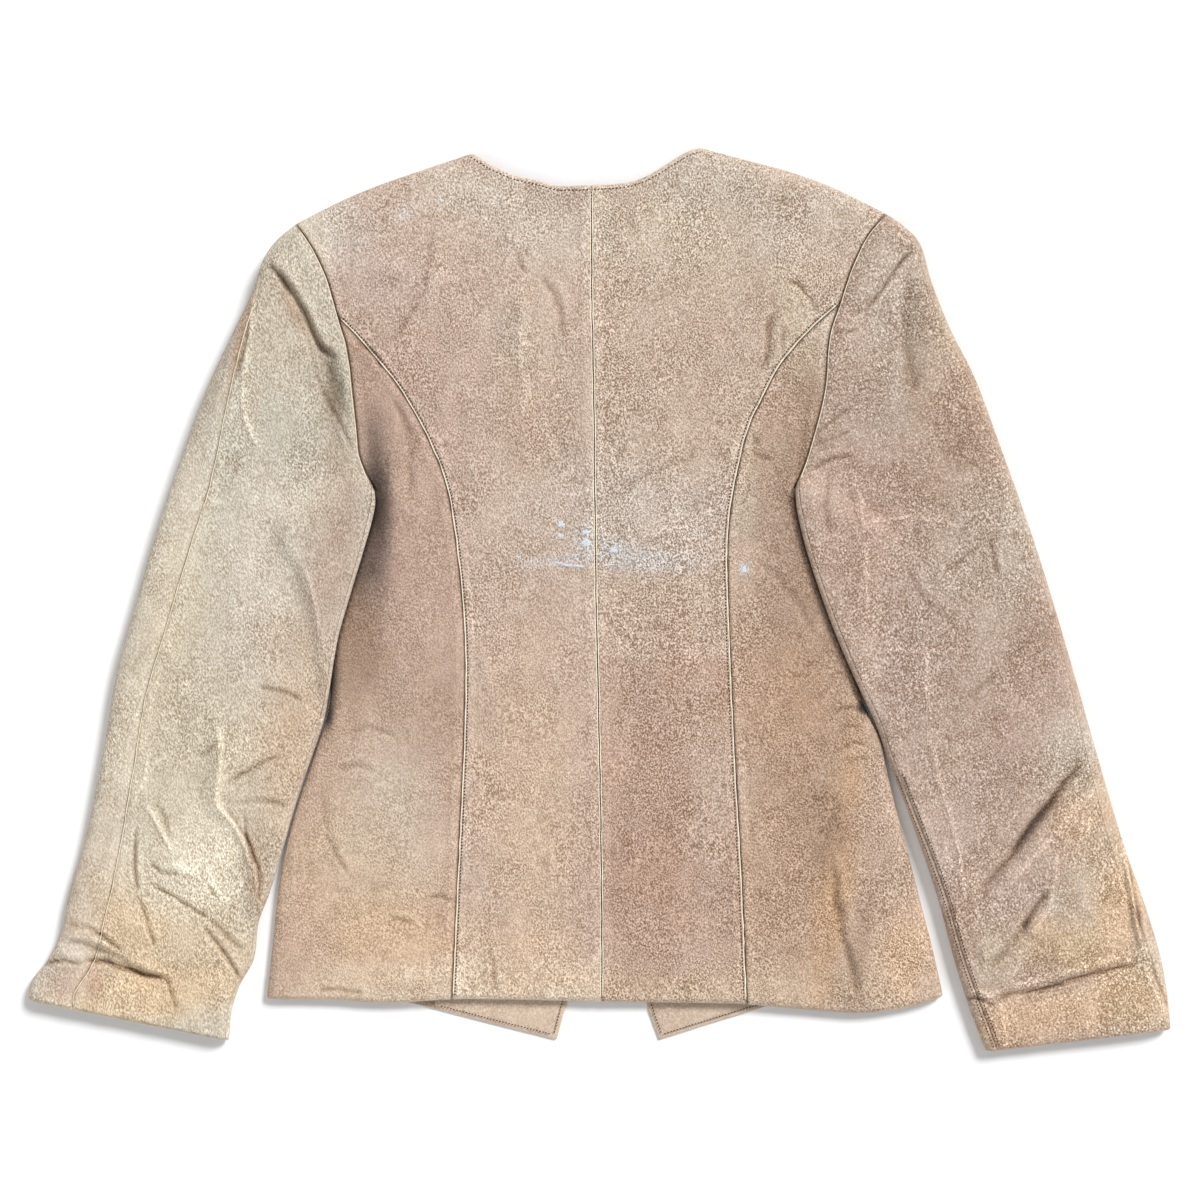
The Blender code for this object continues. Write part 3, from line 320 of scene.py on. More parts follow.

# Colours as seen in even light, 0 to 255; shade and black are the colours of painted shade and painted
# shadow
COLOURS = {
    "cut edge": (238, 222, 200), "seam edge": (250, 234, 212), "thread": (74, 52, 40),
    "chalk": (212, 221, 229), "black": (44, 34, 28),
    "sage": (206, 195, 176), "pearl": (206, 196, 182), "cream": (214, 201, 177), "ivory": (228, 218, 198),
    "rose": (190, 162, 149), "lilac": (198, 180, 172), "tan": (198, 170, 145), "sand": (204, 178, 154),
    "apricot": (230, 196, 160), "clay": (186, 154, 129), "rosewood": (187, 156, 136),
    "ochre": (200, 165, 132), "umber": (160, 134, 114), "honey": (214, 184, 147), "moss": (180, 178, 166),
    "shade": (64, 52, 47),
}
BASES = {
    "back_left": (194, 173, 158), "back_right": (199, 179, 163), "back_side_left": (187, 161, 144),
    "back_side_right": (195, 171, 153), "front_left": (214, 192, 171), "front_right": (209, 188, 168),
    "front_side_left": (200, 177, 157), "front_side_right": (198, 174, 153),
    "sleeve_left_upper": (200, 191, 174), "sleeve_left_under": (211, 202, 187),
    "sleeve_right_upper": (193, 172, 158), "sleeve_right_under": (191, 169, 153),
}
# Grain: its strength, share of round pebbles, their spacing, turn in degrees and stretch along that turn
GRAINS = {
    "back_left": (0.68, 0.25, 2.2, 0, 1.4), "back_right": (0.85, 0.3, 2.2, -20, 1.3),
    "back_side_left": (0.55, 0.3, 2.6, 10, 1.3), "back_side_right": (0.82, 0.35, 2.3, 20, 1.2),
    "front_left": (0.6, 0.3, 2.8, 0, 1.2), "front_right": (0.65, 0.4, 2.8, 0, 1.2),
    "front_side_left": (0.6, 0.3, 2.8, 0, 1.2), "front_side_right": (0.65, 0.4, 2.8, 0, 1.2),
    "sleeve_left_upper": (0.62, 0.3, 2.4, 40, 1.6), "sleeve_left_under": (0.55, 0.4, 2.6, 40, 1.5),
    "sleeve_right_upper": (0.88, 0.5, 2.5, -25, 1.2), "sleeve_right_under": (0.6, 0.5, 2.5, -25, 1.2),
}
# Dark, pale and middle grain: place on the ramp and colour; the middle leaves the tint as it is
GRAIN_MIDDLE = 0.62
GRAIN_STOPS = (
    (0.08, (0.30, 0.235, 0.175, 1)), (0.92, (0.95, 0.985, 1.0, 1)),
    (0.5, (GRAIN_MIDDLE, GRAIN_MIDDLE, GRAIN_MIDDLE, 1)))
INSIDE_GRAIN = 0.35         # strength of the grain inside the garment
EDGE_GRAIN = 0.1            # and on edges
INSIDE_SHARE = 0.92         # brightness of the inside, as a share of its panel's base
WORN_EDGE = 1.06            # how much paler a turned edge is
PATCH_FALL = 1.3            # how steeply a soft area ends
# The suede's shader
SUEDE = {
    "Roughness": 0.95, "Specular IOR Level": 0.15, "Sheen Weight": 0.2, "Sheen Roughness": 0.6,
    "Sheen Tint": (1.0, 0.93, 0.84, 1.0),
}
# How flecks, streaks and uneven patches of the nap are spread: scale and detail of the noise
NAP_NOISE = {"fleck": (900.0, 1.5), "streak": (95.0, 5.0), "patch": (30.0, 3.0)}
MIDDLE_RANGE = (0.3, 0.7)   # of a noise's values
PATCHY_GRAIN = (0.65, 1.25)     # from weak to strong grain
PEBBLE_EDGE = (0.05, 0.52)  # from a pebble's middle to its gap
PEBBLE_SCATTER = 0.8
FLECK_SHARE = 1.08          # of flecks and pebbles together
STREAK_SHARE = 0.30
GRAIN_HEIGHT = 1.6
STREAK_HEIGHT = 0.5
SUEDE_BUMP = {"Strength": 0.7, "Distance": 0.0006}
# Edges, thread and marks: name, colour, roughness and scale of the fuzz
PLAIN_MATERIALS = (
    ("sewing_thread", "thread", 0.7, 2600.0), ("cut_suede_edge", "seam edge", 0.95, 700.0),
    ("dried_chalk", "chalk", 0.95, 900.0))
PLAIN_SPECULAR = 0.2
PLAIN_BUMP = {"Strength": 0.5, "Distance": 0.0004}
FUZZ_DETAIL = 4.0
FUZZ_STOPS = ((0.3, 0.8), (0.7, 1.12))      # places on the ramp and how bright the colour is there
# How much each upper face is crumpled
CRUMPLE = {"body": 0.75, "sleeve_left": 1.0, "sleeve_right": 1.1}
# Seed, main direction in radians and box of the small scattered creases
SCATTER = {
    "body": (21, 1.4, -250, 250, -290, 320), "sleeve_left": (22, 0.5, -415, -160, -320, 270),
    "sleeve_right": (23, 2.4, 140, 415, -325, 280),
}
# Share of each colour that shade takes away, and the limits of what it leaves; the shade is painted
# shade, and where negative painted highlight on ridges and the paler hide of allowances and worn hems
SHADE_COLOUR = (0.75, 0.85, 0.95)
SHADE_LIMITS = (0.15, 1.35)
# Painted shadow in the seam grooves, how dark it is: centre, princess and armhole, then princess and
# armhole
SEAM_SHADE = {"back": (0.35, 0.5, 1.1), "back_side": (1.3, 1.2)}
SEAM_LINE = 1.1             # width of that painted shadow line
STRIP_SHADE = 0.10          # how much paler the hide is over a seam allowance
# Other thin lines: how dark they are, or paler where negative, and their width; the sleeve seam and
# armhole lines are painted shadow in their grooves, and the sleeve gap line is painted shadow on the body
# along a sleeve
SHADE_LINES = {
    "allowance": (0.05, 1.2), "hem": (0.06, 1.3), "worn hem": (-0.1, 1.2), "cuff": (0.08, 1.4),
    "sleeve seam": (0.3, SEAM_LINE), "armhole": (0.8, SEAM_LINE), "sleeve gap": (1.1, 1.3),
}
SLEEVE_SHADE = 0.45         # painted shadow: how much darker the body is painted beside a sleeve that lies on it
SLEEVE_SHADE_WIDTH = 4.0
SHADOW_END = CARRY_END - 30.0   # level at which that ends
SHADOW_FADE = 20.0          # height over which it fades there
SHADOW_START = 10.0         # and height over which it sets in below the underarm
# Level below which a panel comes from a darker part of the hide: (y, softness, share of each colour left)
STEPS = {"back_right": (-40, 4.0, (0.93, 0.88, 0.87)), "back_side_left": (-62, 14.0, (1.0, 1.0, 0.98))}

# Creases of the upper faces: rows of (half width, height, shade, lean, then x and y of each point);
# a valley is negative, shade darkens or pales it as painted shade in a valley and painted highlight
# on a ridge, along with the darker or paler nap of a worn crease, and lean raises the ground on one side
CREASES = {
    "sleeve_left": (
        (2, -2.6, 0.87, 0.9, (-239.9, 242.8), (-228.4, 231.3), (-213.9, 208.1), (-201.6, 184.3),
            (-189.3, 172)),
        (5, -1.8, 0.41, 0, (-200.9, 179.2), (-193, 155.4), (-189.3, 128.6)),
        (1.5, -1, 0.41, 0, (-208.9, 182.1), (-200.9, 151.8), (-186.5, 124.3), (-177.8, 107)),
        (1.6, 1.6, -0.72, 0, (-245.7, 234.2), (-252.9, 184.3), (-256.6, 137.3), (-244.3, 104.8)),
        (1.3, -1, 0.72, 0, (-251.5, 202.4), (-255.1, 183.6), (-262.3, 160.4)),
        (1.2, 0.9, -0.58, 0, (-294.1, 65.8), (-283.3, 67.9), (-273.2, 70.1)),
        (1.6, 0.9, -0.36, 0, (-213.2, 25.3), (-206, 0), (-199.5, -36.1)),
        (1.5, -1.6, 0.7, 0, (-247.2, -62.9), (-229.8, -65.8), (-214.6, -73.7)),
        (1.3, 0.9, -0.43, 0, (-213.2, -75.9), (-203.8, -86), (-195.1, -87.4)),
        (1.2, -0.9, 0.46, 0, (-291.2, -114.2), (-280.4, -107), (-273.2, -99)),
        (1.8, 2.1, -0.43, -1, (-273.2, -88.2), (-273.9, -127.2), (-276.1, -146), (-263.1, -163.3),
            (-251.5, -189.3), (-247.2, -213.9), (-245, -228.4)),
        (1.4, -1.6, 0.72, 0, (-271.7, -150.3), (-260.2, -164.8), (-248.6, -190.8), (-245.7, -220.4)),
        (1.3, -1.3, 0.61, 0, (-258, -153.2), (-254.4, -177.1), (-249.3, -203.8), (-245.7, -232.7)),
        (1.5, -1.7, 0.72, 0, (-266.7, -131.5), (-250.1, -120.7), (-230.5, -110.6)),
        (2, -1.2, 0.43, 0, (-263.1, -148.2), (-244.3, -145.3), (-224, -148.9)),
        (1.8, 1.2, -0.36, 0, (-325.2, -102.6), (-328.1, -126.5), (-337.5, -144.5)),
        (1.5, 1.6, -0.61, 0, (-328.1, -146), (-318, -163.3), (-307.1, -183.6)),
        (1.5, -1.2, 0.51, 0, (-321.6, -144.5), (-312.9, -160.4), (-309.3, -172)),
        (1.3, 1.2, -0.55, 0, (-309.3, -189.3), (-299.2, -193), (-289.1, -193)),
        (1.3, -1.2, 0.61, 0, (-325.9, -189.3), (-315.1, -196.6), (-302.8, -198)),
        (1.3, -1, 0.51, 0, (-289.1, -195.1), (-284.7, -203.8), (-276.8, -214.6)),
        (1.5, -1.8, 0.72, 0, (-335.3, -163.3), (-336.1, -185), (-333.9, -211.8)),
        (1.4, -1.3, 0.61, 0, (-333.9, -213.9), (-328.1, -229.1), (-320.9, -251.5)),
        (1.5, -1.7, 0.75, 0, (-328.1, -202.4), (-310.8, -212.5), (-296.3, -221.9), (-282.6, -229.8)),
        (1.7, -1.4, 0.58, 0, (-282.6, -229.8), (-269.6, -242.8), (-258, -253.7)),
        (3, 2.6, -0.43, 1, (-387.4, -242.8), (-368.6, -246.4), (-351.2, -252.9), (-332.4, -263.8),
            (-312.2, -271.7)),
        (1.8, -2.6, 1.04, 0, (-374.4, -260.2), (-358.5, -261.6), (-338.2, -268.8), (-310.8, -273.9)),
        (1.5, -1.6, 0.8, 0, (-385.9, -232.7), (-371.5, -236.3), (-359.9, -242.8), (-344, -254.4)),
        (1.6, -1.7, 0.87, 0, (-403.3, -263.1), (-388.8, -260.9), (-371.5, -263.1)),
        (1.7, -1.4, 0.65, 0, (-313.7, -271), (-310, -284), (-305.7, -297.8)),
        (1.6, -1.6, 0.61, 0, (-286.2, -234.9), (-273.2, -252.9), (-258, -277.5)),
        (1.8, -1.2, 0.51, 0, (-257.3, -279), (-261.6, -293.4), (-266, -309.3)),
        (2.6, 1.2, -0.32, 0, (-310.8, -192.2), (-285.5, -202.4), (-270.3, -219)),
    ),
    "sleeve_right": (
        (2.4, -3.1, 0.9, 0.6, (350.5, -114.2), (341.1, -125.7), (322.3, -148.9), (302.1, -179.2),
            (274.6, -208.9)),
        (4.5, -1.7, 0.38, 0, (332.4, -137.3), (315.1, -161.9), (296.3, -185)),
        (2.6, 1.6, -0.43, 0, (359.9, -131.5), (335.3, -160.4), (313.7, -185), (292, -208.1)),
        (1.9, -2.5, 0.9, 0.6, (323.8, -209.6), (315.1, -221.1), (303.5, -238.5)),
        (3.2, -2.1, 0.49, 0, (309.3, -229.8), (294.9, -250.1), (279, -267.4)),
        (1.2, 1.2, -0.8, 0, (330.3, -182.1), (328.1, -199.5), (325.2, -211)),
        (1.4, 1.3, -0.87, 0, (325.9, -211.8), (321.6, -225.5), (312.2, -242.8)),
        (1.8, 1.4, -0.32, 0.5, (310.8, -243.5), (303.5, -260.2), (291.2, -279)),
        (1.6, -2.5, 1.04, 0, (286.2, -292.7), (294.1, -285.5), (315.1, -282.6), (335.3, -276.8),
            (361.4, -268.8), (388.1, -264.5)),
        (2.6, 1.7, -0.32, 0, (292, -279), (315.1, -275.3), (354.1, -263.8), (384.5, -257.3)),
        (1.3, 1.6, -0.8, 0, (264.5, -284), (273.9, -281.9), (281.9, -286.2), (289.8, -281.9)),
        (1.3, -1.7, 0.87, 0, (264.5, -287.6), (276.1, -289.1), (286.2, -293.4)),
        (1.8, 2.1, -0.51, 0.8, (378.7, -180.7), (383, -209.6), (388.8, -238.5), (391, -251.5),
            (387.4, -260.9)),
        (1.5, -1.7, 0.72, 0, (380.9, -185.7), (386.6, -219.7), (392.4, -251.5)),
        (1.2, 0.9, -0.65, 0, (393.1, -263.8), (398.9, -279), (408.3, -299.2)),
        (1.2, -1, 0.61, 0, (398.2, -262.3), (404.7, -279), (410.5, -294.9)),
        (1.5, 1, -0.61, 0, (237, -97.6), (244.3, -126.5), (251.5, -151.8), (258, -177.1),
            (264.5, -220.4)),
        (1.3, 0.9, -0.65, 0, (248.6, -172), (250.1, -184.3), (253.7, -195.1)),
        (1.3, -1, 0.51, 0, (318, -170.6), (326.7, -170.6), (335.3, -175.6)),
        (1.1, 0.8, -0.65, 0, (349.1, -155.4), (347.6, -162.6), (346.2, -170.6)),
        (1.1, 0.8, -0.65, 0, (354.1, -156.8), (352.7, -164.8), (350.5, -173.4)),
        (1.3, 0.8, -0.51, 0, (290.5, -292), (291.2, -305), (294.1, -322.3)),
        (1.4, 0.8, -0.43, 0, (204.5, -36.9), (238.5, -36.9), (263.8, -34.7)),
        (2, 1.2, -0.43, 0, (234.9, -28.9), (235.6, -57.8), (238.5, -86.7)),
        (1.5, -2.2, 0.8, -0.4, (226.9, 256.6), (216.1, 242.1), (205.2, 226.9), (191.5, 208.9)),
        (1.2, 0.8, -0.51, 0, (219, 241.4), (206.7, 224), (194.4, 208.1)),
        (1.3, -1.2, 0.7, 0, (169.8, 192.2), (179.2, 193.7), (187.2, 197.3)),
        (5, -1.3, 0.35, 0, (224, 242.8), (220.4, 195.1), (229.1, 144.5)),
        (1.6, -1.4, 0.51, 0, (281.1, 46.3), (283.3, 30.4), (286.9, 15.2)),
        (2, -1.3, 0.58, 0, (272.5, 39.7), (260.2, 28.9), (247.9, 19.5)),
        (1.6, 0.9, -0.51, 0, (191.5, 56.4), (225.5, 59.3), (260.2, 54.2)),
        (1.3, -1.2, 0.58, 0, (153.9, 118.5), (166.2, 128.6), (182.8, 140.2)),
        (1.3, -1.2, 0.58, 0, (152.5, 109.9), (167.7, 117.1), (182.1, 122.9)),
        (1.4, -1.3, 0.65, 0, (151.8, 94), (169.1, 102.6), (185.7, 103.3)),
        (2.2, -1.2, 0.41, 0, (165.5, 85.3), (162.6, 68.7), (165.5, 49.1)),
        (2, -1, 0.36, 0, (180, 78.8), (185.7, 57.8), (193.7, 37.6)),
        (2.6, -1.3, 0.32, 0, (310.8, -28.9), (289.1, -49.1), (263.8, -72.3)),
        (2.4, -1.2, 0.32, 0, (220.4, 28.9), (234.9, 0), (256.6, -18.1)),
        (1.8, 0.9, -0.43, 0, (180.7, 95.4), (188.6, 65), (191.5, 28.9), (193, -14.5)),
        (2.2, -1, 0.32, 0, (355.6, 28.9), (338.2, 0), (318, -20.2)),
    ),
    "body": (
        (1.8, -1.3, 0.58, 0, (-61.4, 252.9), (-58.5, 244.3), (-52.8, 234.9)),
        (4.5, 1.3, -0.22, 0, (-54.2, 216.8), (-56.4, 173.4), (-52.8, 122.9)),
        (2, -1, 0.32, 0, (-122.9, 270.3), (-124.3, 244.3), (-130.1, 216.8), (-149.6, 186.5)),
        (1.8, -0.9, 0.29, 0, (-180.7, 277.5), (-179.2, 252.9), (-182.1, 229.8)),
        (2.4, -1.2, 0.36, 0, (-43.4, 234.9), (-31.8, 216.8), (-27.5, 187.9)),
        (1.6, -1.4, 0.61, 0, (132.3, 230.5), (143.8, 226.2), (151, 216.8), (156.8, 204.5)),
        (3, -1.6, 0.52, 0, (125.7, 209.6), (121.4, 187.9), (119.2, 163.3)),
        (2.4, 1.2, -0.32, 0, (117.8, 235.6), (119.2, 224), (120, 212.5)),
        (1.4, -1, 0.52, 0, (133, 198), (130.8, 182.1), (135.1, 167.7)),
        (1.2, -1, 0.52, 0, (107.7, 146.7), (110.6, 142.4), (113.5, 138)),
        (1.3, -1.2, 0.61, 0, (109.1, 120.7), (112, 115.6), (115.6, 111.3)),
        (1.3, -1.2, 0.65, 0, (109.1, 107.7), (115.6, 103.3), (125.7, 101.9)),
        (3.4, -1.4, 0.38, 0, (145.3, 126.5), (146.7, 108.4), (143.1, 85.3)),
        (1.2, -0.9, 0.46, 0, (-118.5, 110.6), (-113.5, 111.3), (-107.7, 113.5)),
        (3.2, -1.3, 0.43, 0.5, (168.4, -187.9), (174.9, -238.5), (188.6, -293.4)),
        (1.4, -1.2, 0.65, 0, (-123.6, -216.1), (-114.9, -214.6), (-104.8, -219)),
        (1.4, -1, 0.58, 0, (-154.7, -226.9), (-144.5, -232), (-133, -233.4)),
        (1.6, -1, 0.51, 0, (-80.9, -250.8), (-77.3, -266), (-76.6, -283.3)),
        (1.6, -1, 0.51, 0, (-204.5, -283.3), (-187.9, -281.9), (-169.8, -285.5)),
        (1.4, -1, 0.58, 0, (172, -97.6), (179.2, -91.8), (189.3, -91.8)),
        (1.4, -1, 0.58, 0, (174.9, -108.4), (182.1, -103.3), (192.2, -104.1)),
        (1.4, -1, 0.51, 0, (177.8, -119.2), (185.7, -114.2), (194.4, -115.6)),
        (1.6, -1.2, 0.51, 0, (167.7, -83.1), (177.1, -78.1), (186.5, -78.8)),
        (3, -1.2, 0.26, 0, (7.2, 68.7), (28.9, 86.7), (72.3, 104.8)),
        (3, 0.9, -0.17, 0, (28.9, 43.4), (65, 54.9), (91.8, 73)),
        (2.8, -1.2, 0.29, 0, (-148.2, 144.5), (-137.3, 115.6), (-138.8, 72.3)),
        (2.4, -1, 0.29, 0, (115.6, 28.9), (137.3, 7.2), (155.4, -28.9)),
        (2, -1, 0.32, 0, (-184.3, -97.6), (-164.8, -92.5), (-144.5, -99.7)),
        (2, -1, 0.32, 0, (-189.3, -124.3), (-176.3, -119.2), (-160.4, -124.3)),
        (1.6, -1, 0.38, 0, (-200.9, -144.5), (-196.6, -172), (-180.7, -202.4)),
        (1.6, -1, 0.36, 0, (-179.2, 187.9), (-164.8, 179.2), (-155.4, 164.8)),
    ),
}

# Flakes of dried chalk on the back: rows of (x, y, half length, half width, turn)
MARKS = {
    "back_left": (
        (-28.2, 54.9, 2.9, 2.3, 20), (-28.2, 46.3, 2.5, 1.7, -10), (-10.8, 49.1, 3, 1.9, 15),
        (-10.1, 41.2, 4, 2.6, 0), (-30.4, 26.7, 4, 0.7, -8), (-23.1, 25.3, 4.3, 0.9, -6),
        (-15.2, 24.6, 5.1, 0.9, 0), (-59.3, 31.1, 2.3, 0.6, -6), (-114.9, 289.1, 0.9, 2.7, 15),
        (-141.6, 279, 1.6, 0.6, 30), (-138, 276.8, 1, 0.5, -20),
    ),
    "back_right": (
        (9.4, 36.1, 3.2, 2, 20), (5.1, 39.7, 1.4, 0.9, -30), (5.8, 25.3, 5.1, 0.6, 6),
        (15.9, 23.8, 2.9, 0.4, 0),
    ),
    "back_side_right": (
        (104.1, 22.4, 1.7, 2.5, 10),
    ),
}

# Soft areas of another colour: rows of (x, y, half length across, half length up, turn, colour,
# strength);
# the areas in shade and black, and two in umber beside the right sleeve, are painted shade and painted
# shadow
PATCHES = {
    "sleeve_left": (
        (-354.1, -289.1, 94, 22, 12, "ivory", 0.6), (-285.5, 122.9, 29, 108, -14, "sage", 0.7),
        (-249.3, 21.7, 27, 108, -6, "pearl", 0.85), (-314.4, -28.9, 23, 87, -12, "cream", 0.65),
        (-289.1, -144.5, 43, 87, -12, "cream", 0.5), (-271, -166.2, 32, 36, -10, "umber", 0.4),
        (-355.6, -115.6, 29, 58, -12, "cream", 0.4), (-268.8, 130.1, 25, 108, -8, "moss", 0.4),
        (-224, 126.5, 25, 51, 0, "moss", 0.3), (-224, -36.1, 25, 29, 0, "clay", 0.35),
        (-278.2, -180.7, 29, 43, 0, "ivory", 0.9), (-318, -195.1, 36, 43, -15, "ivory", 0.45),
        (-189.3, 39.7, 23, 69, -6, "rose", 0.7), (-191.5, 28.9, 19, 51, -8, "umber", 0.2),
        (-218.3, -94, 29, 43, -20, "tan", 0.75), (-227.7, -144.5, 19, 51, -12, "sand", 0.5),
        (-247.2, -202.4, 7, 36, 8, "clay", 0.5), (-247.2, 173.4, 7, 54, -5, "sage", 0.8),
        (-258, 191.5, 4, 36, -14, "clay", 0.7), (-216.8, 203.8, 6, 36, 28, "clay", 0.55),
        (-227.7, 184.3, 19, 43, 20, "umber", 0.25), (-274.6, 180.7, 22, 65, -14, "umber", 0.22),
        (-339.7, -86.7, 36, 123, -12, "umber", 0.12), (-285.5, -57.8, 36, 65, -10, "umber", 0.1),
        # the first area on this line is painted shade under the left shoulder's fold
        (-191.5, 148.2, 8, 30, 8, "shade", 0.35), (-191.5, 122.9, 10, 36, 8, "umber", 0.35),
        (-377.2, -224, 25, 58, -10, "tan", 0.4), (-343.3, -238.5, 29, 36, 0, "honey", 0.5),
        (-296.3, -260.2, 51, 36, 10, "honey", 0.45), (-339.7, -289.1, 79, 20, 12, "honey", 0.6),
        (-365.7, -277.5, 8, 17, 5, "clay", 0.75), (-380.1, -253.7, 10, 6, 0, "pearl", 0.8),
        (-385.9, -277.5, 19, 10, 14, "rose", 0.5),
    ),
    "sleeve_right": (
        (227.7, 180.7, 10, 87, -6, "umber", 0.6), (213.2, 231.3, 29, 36, 25, "pearl", 0.5),
        (247.2, 191.5, 13, 43, -14, "cream", 0.4), (195.1, 86.7, 30, 79, -8, "rose", 0.6),
        (260.2, 144.5, 29, 65, -18, "tan", 0.3), (216.8, -36.1, 26, 65, -12, "lilac", 0.35),
        (297.8, 28.9, 19, 58, -14, "pearl", 0.5), (252.9, 21.7, 22, 29, 0, "pearl", 0.25),
        (310.8, -72.3, 27, 51, -16, "rose", 0.35), (346.9, -104.8, 25, 25, -30, "pearl", 0.7),
        (355.6, -151.8, 29, 32, -30, "apricot", 0.45), (372.2, -202.4, 36, 65, -20, "cream", 0.45),
        (292.7, -249.3, 22, 25, -16, "cream", 0.5), (339.7, -122.9, 25, 25, -20, "pearl", 0.45),
        (390.3, -278.2, 25, 32, 0, "ivory", 0.6), (256.6, 108.4, 17, 43, -20, "umber", 0.3),
        (234.9, 191.5, 12, 51, -8, "umber", 0.25), (314.4, -25.3, 25, 16, -35, "umber", 0.25),
        (289.1, 54.2, 29, 32, 0, "pearl", 0.35), (209.6, 180.7, 32, 43, 10, "pearl", 0.35),
        (202.4, 122.9, 29, 36, 0, "pearl", 0.3), (249.3, -202.4, 16, 87, -16, "lilac", 0.3),
        (252.9, -242.1, 20, 33, -10, "umber", 0.4), (346.9, -249.3, 25, 16, -14, "cream", 0.5),
        (390.3, -296.3, 36, 17, 0, "cream", 0.45), (326.7, -220.4, 7, 9, 0, "pearl", 0.6),
        (299.9, -225.5, 22, 19, -35, "lilac", 0.6), (375.8, -231.3, 22, 51, -12, "apricot", 0.6),
        (325.2, -299.9, 65, 19, 8, "apricot", 0.55), (332.4, -249.3, 33, 19, -20, "honey", 0.5),
        (386.6, -289.1, 29, 22, 0, "honey", 0.5),
    ),
    "body": (
        (-108.4, -278.2, 137, 19, 0, "ivory", 0.5), (86.7, -281.9, 145, 16, 0, "cream", 0.45),
        (-50.6, -130.1, 43, 101, 0, "tan", 0.2), (-108.4, -101.2, 36, 79, 0, "rose", 0.25),
        (-94, 299.9, 43, 22, 0, "pearl", 0.6), (-50.6, 273.2, 43, 29, 0, "pearl", 0.5),
        (-216.8, 256.6, 36, 25, 30, "sage", 0.7), (-155.4, 227.7, 29, 22, 0, "lilac", 0.6),
        (-164.8, 173.4, 43, 79, -10, "umber", 0.22), (-159, 144.5, 20, 51, -20, "rose", 0.4),
        # the shade and black areas of these three lines are painted shade and painted shadow on the body
        # beside the left sleeve
        (-161.9, 104.8, 9, 30, 4, "shade", 0.6), (-161.9, 57.8, 12, 51, 0, "shade", 1),
        (-170.6, 14.5, 17, 46, -4, "shade", 1), (-160.4, 49.1, 5, 26, 0, "black", 0.75),
        (-166.9, 17.3, 7, 23, -14, "black", 0.7), (-169.1, -28.9, 12, 36, 4, "umber", 0.75),
        (-184.3, -28.9, 9, 43, -6, "umber", 0.5), (-115.6, 130.1, 36, 79, 0, "rose", 0.35),
        (-50.6, 144.5, 22, 65, 0, "tan", 0.35), (-50.6, 180.7, 25, 43, 0, "moss", 0.2),
        (169.8, 180.7, 22, 32, 0, "pearl", 0.5), (79.5, 303.5, 43, 25, 0, "pearl", 0.6),
        (72.3, 267.4, 36, 29, 0, "sage", 0.4), (166.2, 281.9, 36, 25, 25, "pearl", 0.5),
        (28.9, 263.8, 22, 29, 0, "sage", 0.4), (72.3, 159, 43, 94, 0, "umber", 0.15),
        (140.9, 195.1, 17, 43, 20, "cream", 0.55), (122.9, 216.8, 10, 43, 25, "umber", 0.3),
        (153.2, 137.3, 10, 43, 8, "umber", 0.5), (104.8, 72.3, 10, 51, 0, "cream", 0.4),
        # the umber areas of this line and the next are painted shade on the body beside the right sleeve
        (137.3, 28.9, 26, 51, 0, "rose", 0.35), (126.5, 65, 25, 51, 0, "umber", 0.4),
        (153.2, 0, 38, 166, -2, "umber", 0.75), (0, 72.3, 65, 43, 0, "pearl", 0.25),
        (36.1, 61.4, 79, 32, -4, "chalk", 0.14), (30.4, -115.6, 19, 79, 0, "pearl", 0.4),
        (119.2, -209.6, 19, 58, 0, "sand", 0.4), (-5.8, 266, 26, 26, 0, "pearl", 0.4),
        (122.9, 266, 25, 25, 0, "pearl", 0.4), (-184.3, 263.1, 22, 22, 0, "chalk", 0.15),
        (-144.5, -180.7, 36, 51, 0, "ivory", 0.25), (-140.9, 7.2, 29, 51, 0, "rose", 0.4),
        (-173.4, -43.4, 19, 36, 0, "umber", 0.6), (-122.9, -83.1, 51, 26, 0, "umber", 0.25),
        (-148.2, -144.5, 32, 58, 0, "pearl", 0.4), (-180.7, -180.7, 22, 51, 0, "ivory", 0.35),
        (-195.1, -216.8, 51, 72, -8, "sand", 0.7), (-144.5, -242.1, 51, 36, 0, "apricot", 0.35),
        (-216.8, -260.2, 22, 29, 0, "rose", 0.3), (-50.6, -144.5, 43, 123, 0, "sand", 0.6),
        (-50.6, -260.2, 43, 29, 0, "apricot", 0.35), (43.4, -144.5, 46, 116, 0, "rosewood", 0.6),
        (79.5, -137.3, 20, 65, 0, "pearl", 0.35), (28.9, -216.8, 36, 65, 0, "rosewood", 0.3),
        (130.1, -72.3, 43, 43, 0, "clay", 0.7), (137.3, -202.4, 43, 87, 0, "clay", 0.5),
        (172, -187.9, 13, 108, -8, "ochre", 0.75), (167.7, -164.8, 19, 32, 0, "umber", 0.7),
        (187.9, -252.9, 7, 51, -10, "umber", 0.5), (220.4, -252.9, 19, 36, -10, "apricot", 0.45),
        (0, -278.2, 217, 9, 0, "tan", 0.3), (-28.9, 28.9, 30, 4, 6, "chalk", 0.3),
        (-9.4, 43.4, 10, 9, 0, "chalk", 0.3), (32.5, 28.9, 36, 9, -4, "chalk", 0.3),
        (10.8, 37.6, 12, 7, 0, "chalk", 0.25), (0, 288.4, 6, 10, 0, "cream", 0.55),
        (104.1, 22.4, 4, 5, 0, "chalk", 0.45), (-140.9, 278.2, 10, 6, 20, "chalk", 0.25),
        # the black and shade areas of these two lines are painted shadow in the gaps where the sleeves
        # meet the body
        (-196.6, -83.8, 4, 9, -5, "black", 1), (-193.7, -65, 4, 29, -6, "shade", 0.6),
        (190.8, -78.8, 6, 4, -30, "black", 0.9),
    ),
}


